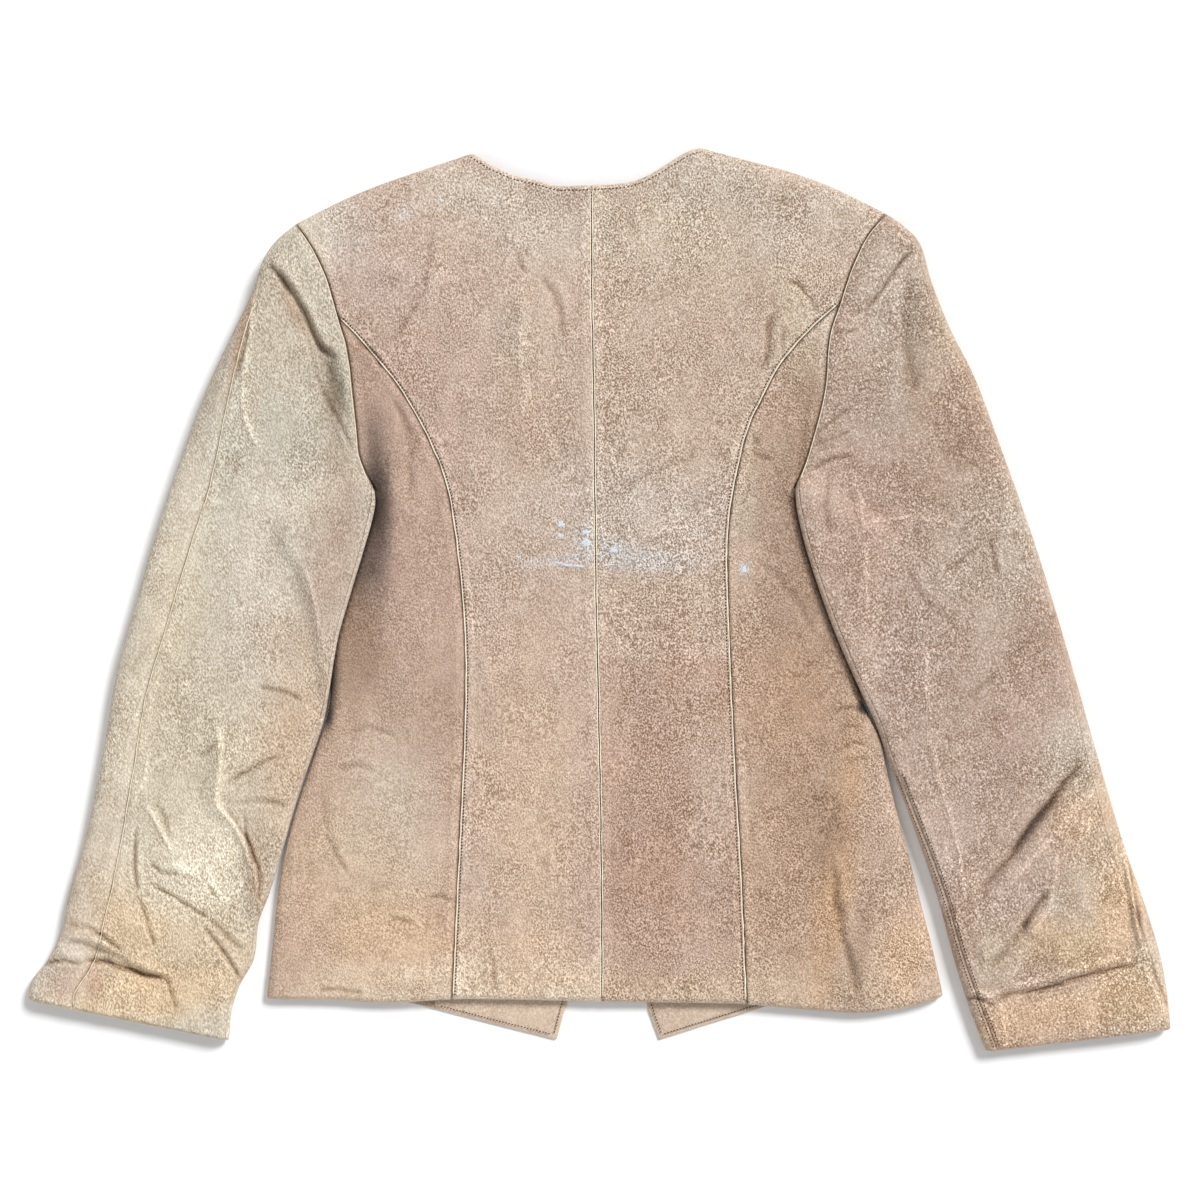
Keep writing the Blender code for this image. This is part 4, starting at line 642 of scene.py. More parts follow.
def lengths_along(chain):
    """Length from a chain's start to each of its points."""
    steps = np.linalg.norm(np.diff(chain, axis=0), axis=1)
    return np.concatenate([[0.0], np.cumsum(steps)])


def shares_along(chain):
    along = lengths_along(chain)
    return along / along[-1]


def point_at(chain, places, along):
    """Points on a chain at the given places of its measure along it."""
    return np.stack([np.interp(places, along, chain[:, k]) for k in range(2)], axis=-1)


def walked(chain, step):
    """A chain's points again at an even step along its length."""
    along = lengths_along(chain)
    return point_at(chain, np.arange(0, along[-1], step), along)


def directions(chain):
    """Unit steps along a chain at each of its points."""
    along = np.gradient(chain, axis=0)
    return along / np.maximum(np.linalg.norm(along, axis=1, keepdims=True), TINY)


def left_of(steps):
    """The steps turned a quarter to the left."""
    return np.stack([-steps[..., 1], steps[..., 0]], axis=-1)


def beside(chain, offset):
    """The chain moved sideways, positive to the left of its direction."""
    return chain + offset * left_of(directions(chain))


class Line:
    """A smooth plane curve through a table's points, measured along its length."""

    def __init__(self, *tables):
        self.points = chain_of(*(smooth_through(np.array(table, float)) for table in tables))
        self.along = lengths_along(self.points)

    def at(self, shares):
        return point_at(self.points, np.asarray(shares, float) * self.along[-1], self.along)

    def distance(self, points):
        return nearest(points, np.concatenate([self.points[:-1:2], self.points[-1:]]))


def smooth_through(table, steps=12):
    """Catmull-Rom curve through the rows of a table."""
    if len(table) == 2:
        return table
    before = 2 * table[0] - table[1]
    after = 2 * table[-1] - table[-2]
    knots = np.concatenate([[before], table, [after]])
    shares = np.linspace(0, 1, steps, endpoint=False)[:, None]
    curve = []
    for p0, p1, p2, p3 in zip(knots, knots[1:], knots[2:], knots[3:]):
        gaps = [np.linalg.norm(b - a) ** 0.5 for a, b in ((p0, p1), (p1, p2), (p2, p3))]
        t1, t2 = gaps[0], gaps[0] + gaps[1]
        t3 = t2 + gaps[2]
        t = t1 + shares * (t2 - t1)
        a1 = (t1 - t) / t1 * p0 + t / t1 * p1
        a2 = (t2 - t) / (t2 - t1) * p1 + (t - t1) / (t2 - t1) * p2
        a3 = (t3 - t) / (t3 - t2) * p2 + (t - t2) / (t3 - t2) * p3
        b1 = (t2 - t) / t2 * a1 + t / t2 * a2
        b2 = (t3 - t) / (t3 - t1) * a2 + (t - t1) / (t3 - t1) * a3
        curve.append((t2 - t) / (t2 - t1) * b1 + (t - t1) / (t2 - t1) * b2)
    return np.concatenate(curve + [table[-1:]])


def nearest(points, chain):
    """Distance from each point to a chain of straight pieces."""
    x, y = points[..., 0], points[..., 1]
    best = np.full(x.shape, np.inf)
    for (x0, y0), (x1, y1) in zip(chain[:-1], chain[1:]):
        dx, dy = x1 - x0, y1 - y0
        share = np.clip(((x - x0) * dx + (y - y0) * dy) / max(dx * dx + dy * dy, TINY), 0, 1)
        best = np.minimum(best, (x - x0 - share * dx) ** 2 + (y - y0 - share * dy) ** 2)
    return np.sqrt(best)


def ease(value):
    """Smooth step from 0 to 1."""
    value = np.clip(value, 0, 1)
    return value * value * (3 - 2 * value)


def eased_interp(places, stops, values):
    """Values between stops, level at each stop."""
    index = np.clip(np.searchsorted(stops, places, side="right") - 1, 0, len(stops) - 2)
    share = ease((places - stops[index]) / (stops[index + 1] - stops[index]))
    return values[index] + (values[index + 1] - values[index]) * share


def rounding(distance, width):
    """Quarter of an ellipse: 0 at a folded edge, 1 from the given width inwards."""
    inward = np.clip(distance / width, 0, 1)
    return np.sqrt(np.clip(1 - (1 - inward) ** 2, 0, 1))


def height_from(table, points):
    """Smooth surface through a table of heights."""
    rows = np.array(table, float)
    square = ((points[..., None, :] - rows[:, :2]) ** 2).sum(-1)
    weight = np.exp(-(square - square.min(axis=-1, keepdims=True)) / (2 * HEIGHT_REACH ** 2))
    return (weight * rows[:, 2]).sum(-1) / weight.sum(-1)


def fold_relief(points):
    """Height that the pressed folds add or take."""
    total = np.zeros(points.shape[:-1])
    for x0, y0, x1, y1, half_width, height in FOLDS:
        start, span = np.array((x0, y0), float), np.array((x1 - x0, y1 - y0), float)
        share = ((points - start) * span).sum(-1) / (span ** 2).sum()
        foot = start + np.clip(share, 0, 1)[..., None] * span
        across = np.linalg.norm(points - foot, axis=-1) / half_width
        total += height * np.exp(-across ** 2)
    return total


class Side:
    """One side of the jacket: its lines, and the surfaces that they carry."""

    def __init__(self, name, tables):
        self.name = name
        self.line = {key: Line(table) for key, table in tables.items()}
        self.outline = Line(tables["shoulder"][::-1], tables["sleeve_outer"])
        self.seat = Line(tables["armhole_high"], tables["armhole_low"])
        self.sleeve_inner = self.line["sleeve_inner"]
        self.sleeve_outer = self.line["sleeve_outer"]
        side = self.line["side"].points
        past_underarm = side[-1] + PAST_UNDERARM * (side[-1] - side[-2])
        self.side_chain = np.concatenate([side, [past_underarm]])
        self.body_direction = 1.0 if name == "left" else -1.0
        self.underarm_start = np.array(tables["underarm"][0])
        self.underarm_end = np.array(tables["underarm"][-1])

    def inside_side(self, points):
        """Signed distance to the body's side edge, positive over the body."""
        edge_x = np.interp(points[..., 1], self.side_chain[:, 1], self.side_chain[:, 0])
        inside = np.sign((points[..., 0] - edge_x) * self.body_direction)
        return inside * nearest(points, self.side_chain)

    def carried(self, points):
        """Share by which the body carries the sleeve: none above the underarm or below the waist."""
        along = self.underarm_end - self.underarm_start
        upward = np.array((-along[1], along[0])) * self.body_direction / np.linalg.norm(along)
        upward = upward if upward[1] > 0 else -upward
        above = ((points - self.underarm_start) * upward).sum(-1)
        low_share = ease((points[..., 1] - CARRY_END) / (CARRY_FULL - CARRY_END))
        return (1 - ease(above / UNDERARM_BLEND)) * low_share

    def back_rounding(self, points, top_width, side_width):
        along_top = rounding(self.outline.distance(points), top_width)
        return along_top * rounding(self.line["side"].distance(points), side_width)

    def back_height(self, points):
        """Upper face of the back."""
        full = height_from(BODY_HEIGHTS, points)
        share = EDGE_SHARE + (1 - EDGE_SHARE) * self.back_rounding(points, SHOULDER_ROUND, SIDE_ROUND)
        return full * share + self.visible_relief(points)

    def visible_relief(self, points):
        """Folds fade out at folded edges and where a sleeve lies on the body."""
        clear_of_top = ease(self.outline.distance(points) / FOLD_CLEARANCE)
        clear_of_side = ease(self.line["side"].distance(points) / FOLD_CLEARANCE)
        near_sleeve = ease((SLEEVE_CLEARANCE - self.sleeve_inner.distance(points)) / FOLD_CLEARANCE)
        clear_of_sleeve = 1 - self.carried(points) * near_sleeve
        return fold_relief(points) * clear_of_top * clear_of_side * clear_of_sleeve

    def front_height(self, points):
        """Lower face of the front: on the surface, and turned up at the folded edges."""
        full = height_from(BODY_HEIGHTS, points)
        return full * EDGE_SHARE * (1 - self.back_rounding(points, UNDER_ROUND, UNDER_ROUND))

    def sleeve_under(self, points):
        """Lower face of the sleeve: on the surface, or draped over the body's side."""
        drape = ease(1 + self.inside_side(points) / DRAPE_WIDTH)
        return self.carried(points) * drape * (height_from(BODY_HEIGHTS, points) + STACK_GAP)

    def sleeve_over(self, points):
        """Upper face of the sleeve inside its folded edges."""
        near_body = height_from(BODY_HEIGHTS, points)
        own = height_from(SLEEVE_HEIGHTS, points)
        free = near_body + (own - near_body) * ease(self.seat.distance(points) / HEAD_BLEND)
        needed = self.sleeve_under(points) + FOLDED_SLEEVE
        raised = 0.5 * (free + needed + np.sqrt((free - needed) ** 2 + SOFT_LIFT ** 2))
        return free + (raised - free) * self.carried(points)

    def from_cuff(self, points):
        """Distance to the cuff's edge."""
        return nearest(points, np.array((self.sleeve_outer.points[-1], self.sleeve_inner.points[-1])))

    def sleeve_surface(self, points, over):
        """Height of the sleeve's outside at each point, over the top or underneath."""
        low = self.sleeve_under(points)
        high = self.sleeve_over(points)
        tightness = ease((points[..., 1] - INNER_ROUND_END) / (INNER_ROUND_FULL - INNER_ROUND_END))
        inner_width = INNER_ROUND_LOOSE + (INNER_ROUND_TIGHT - INNER_ROUND_LOOSE) * tightness
        from_outer = self.outline.distance(points)
        from_inner = self.sleeve_inner.distance(points)
        top = rounding(from_outer, SHOULDER_ROUND) * rounding(from_inner, inner_width)
        under_width = np.minimum(inner_width, UNDER_ROUND)
        below = rounding(from_outer, UNDER_ROUND) * rounding(from_inner, under_width)
        relief = fold_relief(points) * ease(self.seat.distance(points) / ARMHOLE_CLEARANCE)
        relief *= ease(from_outer / FOLD_CLEARANCE) * ease(from_inner / FOLD_CLEARANCE)
        relief *= 1 - (1 - CARRIED_FOLDS) * self.carried(points)
        upper = low + (high - low) * (EDGE_SHARE + (1 - EDGE_SHARE) * top) + relief
        lower = low + (high - low) * EDGE_SHARE * (1 - below)
        return np.where(over, upper, lower)


def with_height(points, heights):
    return np.concatenate([points, heights[..., None]], axis=-1)


def patch(hem, top, outer, inner):
    """Fill four edges: hem and top run from outer to inner, outer and inner run upwards."""
    rows_outer, rows_inner = shares_along(outer)[:, None], shares_along(inner)[:, None]
    columns_hem, columns_top = shares_along(hem)[None], shares_along(top)[None]
    middle_rows = (rows_outer + rows_inner) / 2
    leaving_hem = ease((middle_rows - HEM_COLUMNS_END) / (1 - HEM_COLUMNS_END))
    across = columns_hem + (columns_top - columns_hem) * leaving_hem
    upward = rows_outer + (rows_inner - rows_outer) * across
    right, up = across[..., None], upward[..., None]
    on_hem, on_top = point_at(hem, across, columns_hem[0]), point_at(top, across, columns_top[0])
    on_outer = point_at(outer, upward, rows_outer[:, 0])
    on_inner = point_at(inner, upward, rows_inner[:, 0])
    between_rows = (1 - up) * on_hem + up * on_top
    between_columns = (1 - right) * on_outer + right * on_inner
    low = (1 - right) * hem[0] + right * hem[-1]
    high = (1 - right) * top[0] + right * top[-1]
    return between_rows + between_columns - ((1 - up) * low + up * high)


def chain_of(*parts):
    return np.concatenate([parts[0]] + [part[1:] for part in parts[1:]])


def spaced(count, first=1.0, last=1.0, reach=0.06):
    """Shares from 0 to 1 that lie closer together towards either end."""
    middle = (np.arange(count) + 0.5) / count
    width = 1 - (1 - first) * np.exp(-middle / reach) - (1 - last) * np.exp(-(1 - middle) / reach)
    return np.concatenate([[0.0], np.cumsum(width) / width.sum()])


def joined_shares(middle, low, high):
    """Shares crowded up to a middle place and again from there."""
    return np.concatenate([middle * low, middle + (1 - middle) * high[1:]])


# Fine stops along the seams; each count is a multiple of INNER_STEP
HIGH_STOPS = joined_shares(0.06, spaced(15, first=0.2, reach=0.2), spaced(30, first=0.3))
LOW_STOPS = joined_shares(0.963, spaced(54), spaced(6, last=0.3, reach=0.3))
UNDERARM_STOPS = spaced(33, first=0.05, reach=0.05)
FRONT_LOW_STOPS = spaced(36, first=0.15)
FRONT_HIGH_STOPS = spaced(24, last=0.15)
BACK_ROWS = spaced(252, first=0.25, reach=0.01)
BACK_COLUMNS = spaced(108, first=0.35, last=0.35, reach=0.03)
SIDE_COLUMNS = spaced(93, first=0.08, last=0.4, reach=0.04)
NECK_STOPS = spaced(45, last=0.2, reach=0.1)
FRONT_ROWS = spaced(132, first=0.3, reach=0.02)
FRONT_COLUMNS = spaced(48, last=0.4)
CUTAWAY_STOPS = spaced(48, first=0.4)
CENTRE_STOPS = spaced(78)
FRONT_NECK_STOPS = spaced(30, last=0.3)
RING_SHARES = spaced(270, first=0.4, last=0.25, reach=0.015)

# Numbers of the armhole's points at which the sleeve's seams and folds begin
ELBOW_SEAM_POINT = 15
INNER_FOLD_POINT = len(HIGH_STOPS) + len(LOW_STOPS) - 2
UNDERARM_POINT = INNER_FOLD_POINT + len(UNDERARM_STOPS) - 1
OUTER_FOLD_POINT = UNDERARM_POINT + len(FRONT_LOW_STOPS) + len(FRONT_HIGH_STOPS) - 2
INNER_SEAM_POINT = INNER_FOLD_POINT - 6


def body_panels(side):
    """The four flat panels of one side, as grids of points on the outside."""
    line = side.line
    high = line["armhole_high"].at(HIGH_STOPS)
    low = line["armhole_low"].at(LOW_STOPS)
    underarm = line["underarm"].at(UNDERARM_STOPS)
    princess = line["back_princess"].at(BACK_ROWS)
    side_edge = line["side"].at(BACK_ROWS)
    neck = line["back_neck"].at(NECK_STOPS)
    centre = Line(CENTRE_BACK).at(BACK_ROWS)
    hem_line = Line(BACK_HEM_MIDDLE)
    hem_shares = hem_line.along / hem_line.along[-1]
    middle = np.interp(CENTRE_BACK[0][0], hem_line.points[:, 0], hem_shares)
    outer_end = 0.0 if side.name == "left" else 1.0
    back_hem = hem_line.at(outer_end + (middle - outer_end) * BACK_COLUMNS)
    shoulder = line["shoulder"].at(BACK_COLUMNS)
    back = patch(back_hem, shoulder, chain_of(princess, high[::-1]), chain_of(centre, neck))

    side_top = chain_of(underarm[::-1], low[::-1])
    back_side = evened(patch(line["back_hem"].at(SIDE_COLUMNS), side_top, side_edge, princess))

    front_low = line["front_armhole_low"].at(FRONT_LOW_STOPS)
    front_high = line["front_armhole_high"].at(FRONT_HIGH_STOPS)
    front_princess = line["front_princess"].at(FRONT_ROWS)
    inner_edge = chain_of(
        line["cutaway"].at(CUTAWAY_STOPS), line["centre_front"].at(CENTRE_STOPS),
        line["front_neck"].at(FRONT_NECK_STOPS))
    tip_hem = line["front_hem_tip"].at(FRONT_COLUMNS)
    front_shoulder = line["shoulder"].at(FRONT_COLUMNS)
    front = patch(tip_hem, front_shoulder, chain_of(front_princess, front_high), inner_edge)

    front_side_hem = line["front_hem_side"].at(FRONT_LOW_STOPS)
    front_side = patch(front_side_hem, front_low, line["side"].at(FRONT_ROWS), front_princess)
    return {
        "back_" + side.name: with_height(back, side.back_height(back)),
        "back_side_" + side.name: with_height(back_side, side.back_height(back_side)),
        "front_" + side.name: with_height(front, side.front_height(front)),
        "front_side_" + side.name: with_height(front_side, side.front_height(front_side)),
    }


def evened(points):
    """The grid relaxed away from its edges, where the corner at the underarm would crowd its columns."""
    rows, columns = points.shape[:2]
    from_row = np.minimum(np.arange(rows), np.arange(rows)[::-1])[:, None]
    from_column = np.minimum(np.arange(columns), np.arange(columns)[::-1])[None]
    weight = ease(np.minimum(from_row, from_column) / EVENED_MARGIN)[1:-1, 1:-1, None]
    points = points.copy()
    for _ in range(EVENED_PASSES):
        mean = (points[:-2, 1:-1] + points[2:, 1:-1] + points[1:-1, :-2] + points[1:-1, 2:]) / 4
        points[1:-1, 1:-1] += weight * (mean - points[1:-1, 1:-1])
    return points


def places_between(stops, start_place, settled):
    """Places round the sleeve, a row for each ring: stops are (armhole point, place, on a fold)."""
    columns = []
    for (first, low, fold_first), (last, high, fold_last) in zip(stops, stops[1:]):
        closeness = [FOLD_SPACING if fold else SEAM_SPACING for fold in (fold_first, fold_last)]
        share = spaced(last - first, *closeness)
        later = low[:, None] + (high - low)[:, None] * share
        rows = start_place[first:last + 1] * (1 - settled[:, None]) + later * settled[:, None]
        columns.append(rows if first == stops[0][0] else rows[:, 1:])
    return np.concatenate(columns, axis=1)


def sleeve_panels(side):
    """Upper and under sleeve as grids of outside points, with their places round the sleeve."""
    line = side.line
    over_start = chain_of(line["armhole_high"].at(HIGH_STOPS), line["armhole_low"].at(LOW_STOPS))
    under_start = chain_of(
        line["underarm"].at(UNDERARM_STOPS), line["front_armhole_low"].at(FRONT_LOW_STOPS),
        line["front_armhole_high"].at(FRONT_HIGH_STOPS))
    start_chain = chain_of(over_start, under_start)
    under_shares = shares_along(under_start)
    marks = under_shares[[0, len(UNDERARM_STOPS) - 1, -len(FRONT_HIGH_STOPS), -1]]
    under_place = np.interp(under_shares, marks, (1.0, UNDERARM_PLACE, FRONT_NOTCH_PLACE, 2.0))
    start_place = np.concatenate([shares_along(over_start), under_place[1:]])
    round_again = np.concatenate([start_place, 2 + start_place[1:ELBOW_SEAM_POINT + 1]])
    side.start = (start_chain, start_place)

    seams = np.array(SLEEVE_SEAMS[side.name])
    settled = ease(RING_SHARES / ARMHOLE_SETTLED)
    elbow_place = eased_interp(RING_SHARES, seams[:, 0], seams[:, 1])
    inner_place = eased_interp(RING_SHARES, seams[:, 0], seams[:, 2])
    side.seam_places = {
        "elbow": start_place[ELBOW_SEAM_POINT] * (1 - settled) + elbow_place * settled,
        "inner": start_place[INNER_SEAM_POINT] * (1 - settled) + inner_place * settled}
    one = np.ones_like(RING_SHARES)
    elbow = (ELBOW_SEAM_POINT, elbow_place, False)
    elbow_again = (OUTER_FOLD_POINT + ELBOW_SEAM_POINT, 2 + elbow_place, False)
    inner = (INNER_SEAM_POINT, inner_place, False)
    inner_fold = (INNER_FOLD_POINT, one, True)
    outer_fold = (OUTER_FOLD_POINT, 2 * one, True)
    stops = {"upper": (elbow, inner), "under": (inner, inner_fold, outer_fold, elbow_again)}
    seam = side.seam_places[SEWN_FROM[side.name][0]]
    side.seam_path = sleeve_grid(side, RING_SHARES, seam[:, None])[:, 0, :2]
    grids, all_places = {}, {}
    for layer, rows in stops.items():
        node = "sleeve_" + side.name + "_" + layer
        all_places[node] = places_between(rows, round_again, settled)
        grids[node] = sleeve_grid(side, RING_SHARES, all_places[node])
    return grids, all_places


def sleeve_grid(side, shares, places):
    """Points on the sleeve at shares of its length and places round it."""
    start_chain, start_place = side.start
    outer = side.sleeve_outer.at(shares)[:, None]
    inner = side.sleeve_inner.at(shares)[:, None]
    wrapped = np.where(places > 2, places - 2, places)
    over = wrapped <= 1
    inward = np.where(over, wrapped, 2 - wrapped)[..., None]
    chord_start = outer[0] + inward * (inner[0] - outer[0])
    start_x = np.interp(wrapped, start_place, start_chain[:, 0])
    start_y = np.interp(wrapped, start_place, start_chain[:, 1])
    bulge = np.stack([start_x, start_y], axis=-1) - chord_start
    fading = (1 - ease(shares / HEAD_BULGE_END))[:, None, None]
    points = outer + inward * (inner - outer) + fading * bulge
    return with_height(points, side.sleeve_surface(points, over))


def grid_normals(grid):
    """Unit normals at the points of a grid, all on one side of it."""
    rising = grid[1:, 1:] - grid[:-1, :-1]
    falling = grid[:-1, 1:] - grid[1:, :-1]
    face = np.cross(rising, falling)
    total = np.zeros_like(grid)
    for rows in (slice(None, -1), slice(1, None)):
        for columns in (slice(None, -1), slice(1, None)):
            total[rows, columns] += face
    return total / np.maximum(np.linalg.norm(total, axis=-1, keepdims=True), TINY)


def inward_step(edge, inside, normal):
    """Unit steps from an edge into the sheet, square to the edge and along the surface."""
    along = np.gradient(edge, axis=0)
    along -= (along * normal).sum(-1, keepdims=True) * normal
    step = np.cross(normal, along)
    step *= np.sign((step * (inside - edge)).sum(-1, keepdims=True))
    return step / np.maximum(np.linalg.norm(step, axis=1, keepdims=True), TINY)


def spread(values, reach, pick):
    """The lowest or highest value within a few grid points of each point."""
    result = values
    for axis in (0, 1):
        source = result
        for move in range(1, reach + 1):
            for turn in (move, -move):
                moved = np.roll(source, turn, axis)
                blank = slice(0, move) if turn > 0 else slice(-move, None)
                keep = [slice(None), slice(None)]
                keep[axis] = blank
                moved[tuple(keep)] = source[tuple(keep)]
                result = pick(result, moved)
    return result


def boundary(array):
    """The values along a grid's four edges, once round."""
    return np.concatenate([array[0, :-1], array[:-1, -1], array[-1, :0:-1], array[:0:-1, 0]])


def quads(number):
    """Faces between the neighbouring points of a numbered grid."""
    corners = [number[:-1, :-1], number[1:, :-1], number[1:, 1:], number[:-1, 1:]]
    return np.stack(corners, -1).reshape(-1, 4)


def ring_faces(rings, sides):
    """Faces between numbered rings, closed all round."""
    number = np.arange(rings * sides).reshape(rings, sides)
    return quads(np.column_stack([number, number[:, 0]]))[:, FLIPPED].tolist()


def tube_faces(rings, sides):
    """The same with a face over each end."""
    first, last = list(range(sides)), list(range((rings - 1) * sides, rings * sides))
    return ring_faces(rings, sides) + [first[::-1], last]


def mesh_from(name, points, faces):
    """A smooth mesh in the model's metres from points in the tables' millimetres."""
    mesh = bpy.data.meshes.new(name)
    mesh.from_pydata(((points + PLACE) * MM).tolist(), [], faces)
    mesh.polygons.foreach_set("use_smooth", [True] * len(faces))
    mesh.update()
    return mesh


def linked(name, data):
    """A new object in the scene."""
    item = bpy.data.objects.new(name, data)
    bpy.context.scene.collection.objects.link(item)
    return item


def shell(name, grid, facing, detail, thickness, turned):
    """A closed sheet: fine outside with its detail, coarser inside, and a rim, round where turned."""
    normals = grid_normals(grid) * facing
    outside = grid.copy()
    outside[..., 2] += detail
    for turn in ((0, 1, 2), (1, 0, 2)):
        moved, source, normal = outside.transpose(turn), grid.transpose(turn), normals.transpose(turn)
        moved[0] += inward_step(source[0], source[1], normal[0]) * SEAM_GAP / 2
        moved[-1] += inward_step(source[-1], source[-2], normal[-1]) * SEAM_GAP / 2
    rows, columns = grid.shape[:2]
    number = np.arange(rows * columns).reshape(rows, columns)

    # The inside follows the deepest detail near each point, so that it never comes through
    calm = np.where(normals[..., 2] > 0, spread(detail, INNER_STEP + 1, np.minimum),
                    spread(detail, INNER_STEP + 1, np.maximum))
    inside = outside.copy()
    inside[..., 2] = grid[..., 2] + calm
    inside -= thickness[..., None] * normals
    coarse = inside[::INNER_STEP, ::INNER_STEP]
    coarse_number = rows * columns + np.arange(coarse[..., 0].size).reshape(coarse.shape[:2])

    # The rim runs from the outside's edge over to the inside's
    out_edge, in_edge = boundary(outside), boundary(inside)
    outward = np.cross(np.roll(out_edge, -1, 0) - np.roll(out_edge, 1, 0), boundary(normals))
    outward *= np.sign((outward * (out_edge - outside.mean(axis=(0, 1)))).sum())
    outward /= np.maximum(np.linalg.norm(outward, axis=1, keepdims=True), TINY)
    middle, half = (out_edge + in_edge) / 2, (out_edge - in_edge) / 2
    radius = np.linalg.norm(half, axis=1, keepdims=True) * boundary(turned)[:, None]
    rim = [boundary(number)]
    points = [outside.reshape(-1, 3), coarse.reshape(-1, 3)]
    first = number.size + coarse_number.size
    for angle in np.pi * np.arange(1, RIM_STEPS) / RIM_STEPS:
        points.append(middle + half * np.cos(angle) + outward * radius * np.sin(angle))
        rim.append(first + np.arange(len(middle)))
        first += len(middle)

    faces = [quads(number), quads(coarse_number)[:, FLIPPED]]
    for upper, lower in zip(rim, rim[1:]):
        faces.append(np.stack([upper, np.roll(upper, -1), np.roll(lower, -1), lower], -1))
    faces = np.concatenate(faces).tolist()
    last, around = rim[-1], boundary(coarse_number)
    for index, (here, there) in enumerate(zip(around, np.roll(around, -1))):
        fine = [int(last[(index * INNER_STEP + k) % len(last)]) for k in range(INNER_STEP + 1)]
        faces.append(fine + [int(there), int(here)])
    clockwise = np.cross(grid[1, 0] - grid[0, 0], grid[0, 1] - grid[0, 0]) @ normals[0, 0] > 0
    if not clockwise:
        faces = [face[::-1] for face in faces]
    return mesh_from(name, np.concatenate(points), faces)


def ripple(points, size, seed):
    """Smooth noise from -1 to 1 with bumps of about the given size."""
    lattice = np.random.default_rng(seed).uniform(-1, 1, (LATTICE, LATTICE))
    angle = seed * LATTICE_TURN
    turned = points @ np.array(((np.cos(angle), -np.sin(angle)), (np.sin(angle), np.cos(angle))))
    place = turned / size + LATTICE_START
    base = np.floor(place).astype(int)
    share = ease(place - base)
    total = np.zeros(points.shape[:-1])
    for right in (0, 1):
        for up in (0, 1):
            weight_x = share[..., 0] if right else 1 - share[..., 0]
            weight_y = share[..., 1] if up else 1 - share[..., 1]
            corner = lattice[(base[..., 0] + right) % LATTICE, (base[..., 1] + up) % LATTICE]
            total += weight_x * weight_y * corner
    return total


def bumps(kind, points, own_seed=0):
    """Unevenness of a kind in BUMPS, with a seed of its own for each crease, seam or patch."""
    size, strength, seed = BUMPS[kind]
    return strength * ripple(points, size, seed + own_seed)


def bell(distance, width):
    """1 on a line, falling smoothly to nothing within about two widths."""
    return np.exp(-(distance / width) ** 2)


def from_chain(points, chain):
    """Signed distance to a chain and the share of its length: positive on the left of its direction."""
    flat = points.reshape(-1, 1, 2)
    start, span = chain[:-1], np.diff(chain, axis=0)
    share = np.clip(((flat - start) * span).sum(-1) / np.maximum((span ** 2).sum(-1), TINY), 0, 1)
    gap = flat - (start + share[..., None] * span)
    distance = np.linalg.norm(gap, axis=-1)
    pick = distance.argmin(axis=1)
    row = np.arange(len(flat))
    nearest_gap, nearest_span = gap[row, pick], span[pick]
    side = np.sign(nearest_span[:, 0] * nearest_gap[:, 1] - nearest_span[:, 1] * nearest_gap[:, 0])
    along = lengths_along(chain)
    reached = along[pick] + share[row, pick] * np.diff(along)[pick]
    shape = points.shape[:-1]
    return (distance[row, pick] * side).reshape(shape), (reached / along[-1]).reshape(shape)


def crease_field(points, rows):
    """Height of all creases of a table at the given points, and their painted shade and highlight."""
    height, shade = np.zeros(points.shape[:-1]), np.zeros(points.shape[:-1])
    for index, (half_width, rise, tone, lean, *knots) in enumerate(rows):
        chain = smooth_through(np.array(knots, float), CREASE_STEPS)
        reach = CREASE_REACH * half_width
        low, high = chain.min(axis=0) - reach, chain.max(axis=0) + reach
        near = ((points > low) & (points < high)).all(axis=-1)
        if not near.any():
            continue
        own = points[near]
        distance, along = from_chain(own, chain)
        distance += half_width * bumps("crease path", own, index)
        ends = np.sqrt(np.clip(2 * np.sin(np.pi * np.clip(along, 0, 1)), 0, 1))
        past = np.minimum(nearest(own, chain[:1].repeat(2, 0)), nearest(own, chain[-1:].repeat(2, 0)))
        ends *= CREASE_END + (1 - CREASE_END) * ease(past / (CREASE_END_REACH * half_width))
        uneven = 1 + bumps("crease depth", own, index)
        across = np.abs(distance) / half_width
        lips = LIP_HEIGHT * bell(across - LIP_PLACE, LIP_WIDTH) if rise < 0 else 0
        slope = lean * abs(rise) * np.tanh(distance / half_width) * bell(across, LEAN_WIDTH)
        height[near] += (rise * (bell(across, 1) + lips) + slope) * ends * uneven
        shade[near] += tone * bell(across, SHADE_WIDTH) * ends * uneven
    return height, shade


def scatter_rows(region):
    """Small unplanned creases, spread over a region with even chances."""
    seed, turn, x0, x1, y0, y1 = SCATTER[region]
    draw = np.random.default_rng(seed)
    rows = []
    for _ in range(int((x1 - x0) * (y1 - y0) / SCATTER_ROOM)):
        x, y = draw.uniform(x0, x1), draw.uniform(y0, y1)
        length, angle = draw.uniform(*SCATTER_LENGTH), draw.normal(turn, SCATTER_TURN)
        bend = draw.normal(0, SCATTER_BEND) * length
        start, step = np.array((x, y)), np.array((np.cos(angle), np.sin(angle)))
        knots = (start, start + step * length / 2 + left_of(step) * bend, start + step * length)
        rise = draw.choice((-1, -1, 1)) * draw.uniform(*SCATTER_RISE)
        rows.append((draw.uniform(*SCATTER_WIDTH), rise, -SCATTER_SHADE * rise, 0.0, *knots))
    return rows


def seam_relief(distance, points, seed):
    """Rolled-down seam line, allowance pressed through on its side, and the pucker along it."""
    band = ALLOWANCE_RISE * ease((ALLOWANCE - distance) / ALLOWANCE_STEP)
    pucker = bumps("pucker", points, seed) * np.exp(-distance / PUCKER_REACH)
    return -SEAM_DIP * bell(distance, SEAM_DIP_WIDTH) + band + pucker


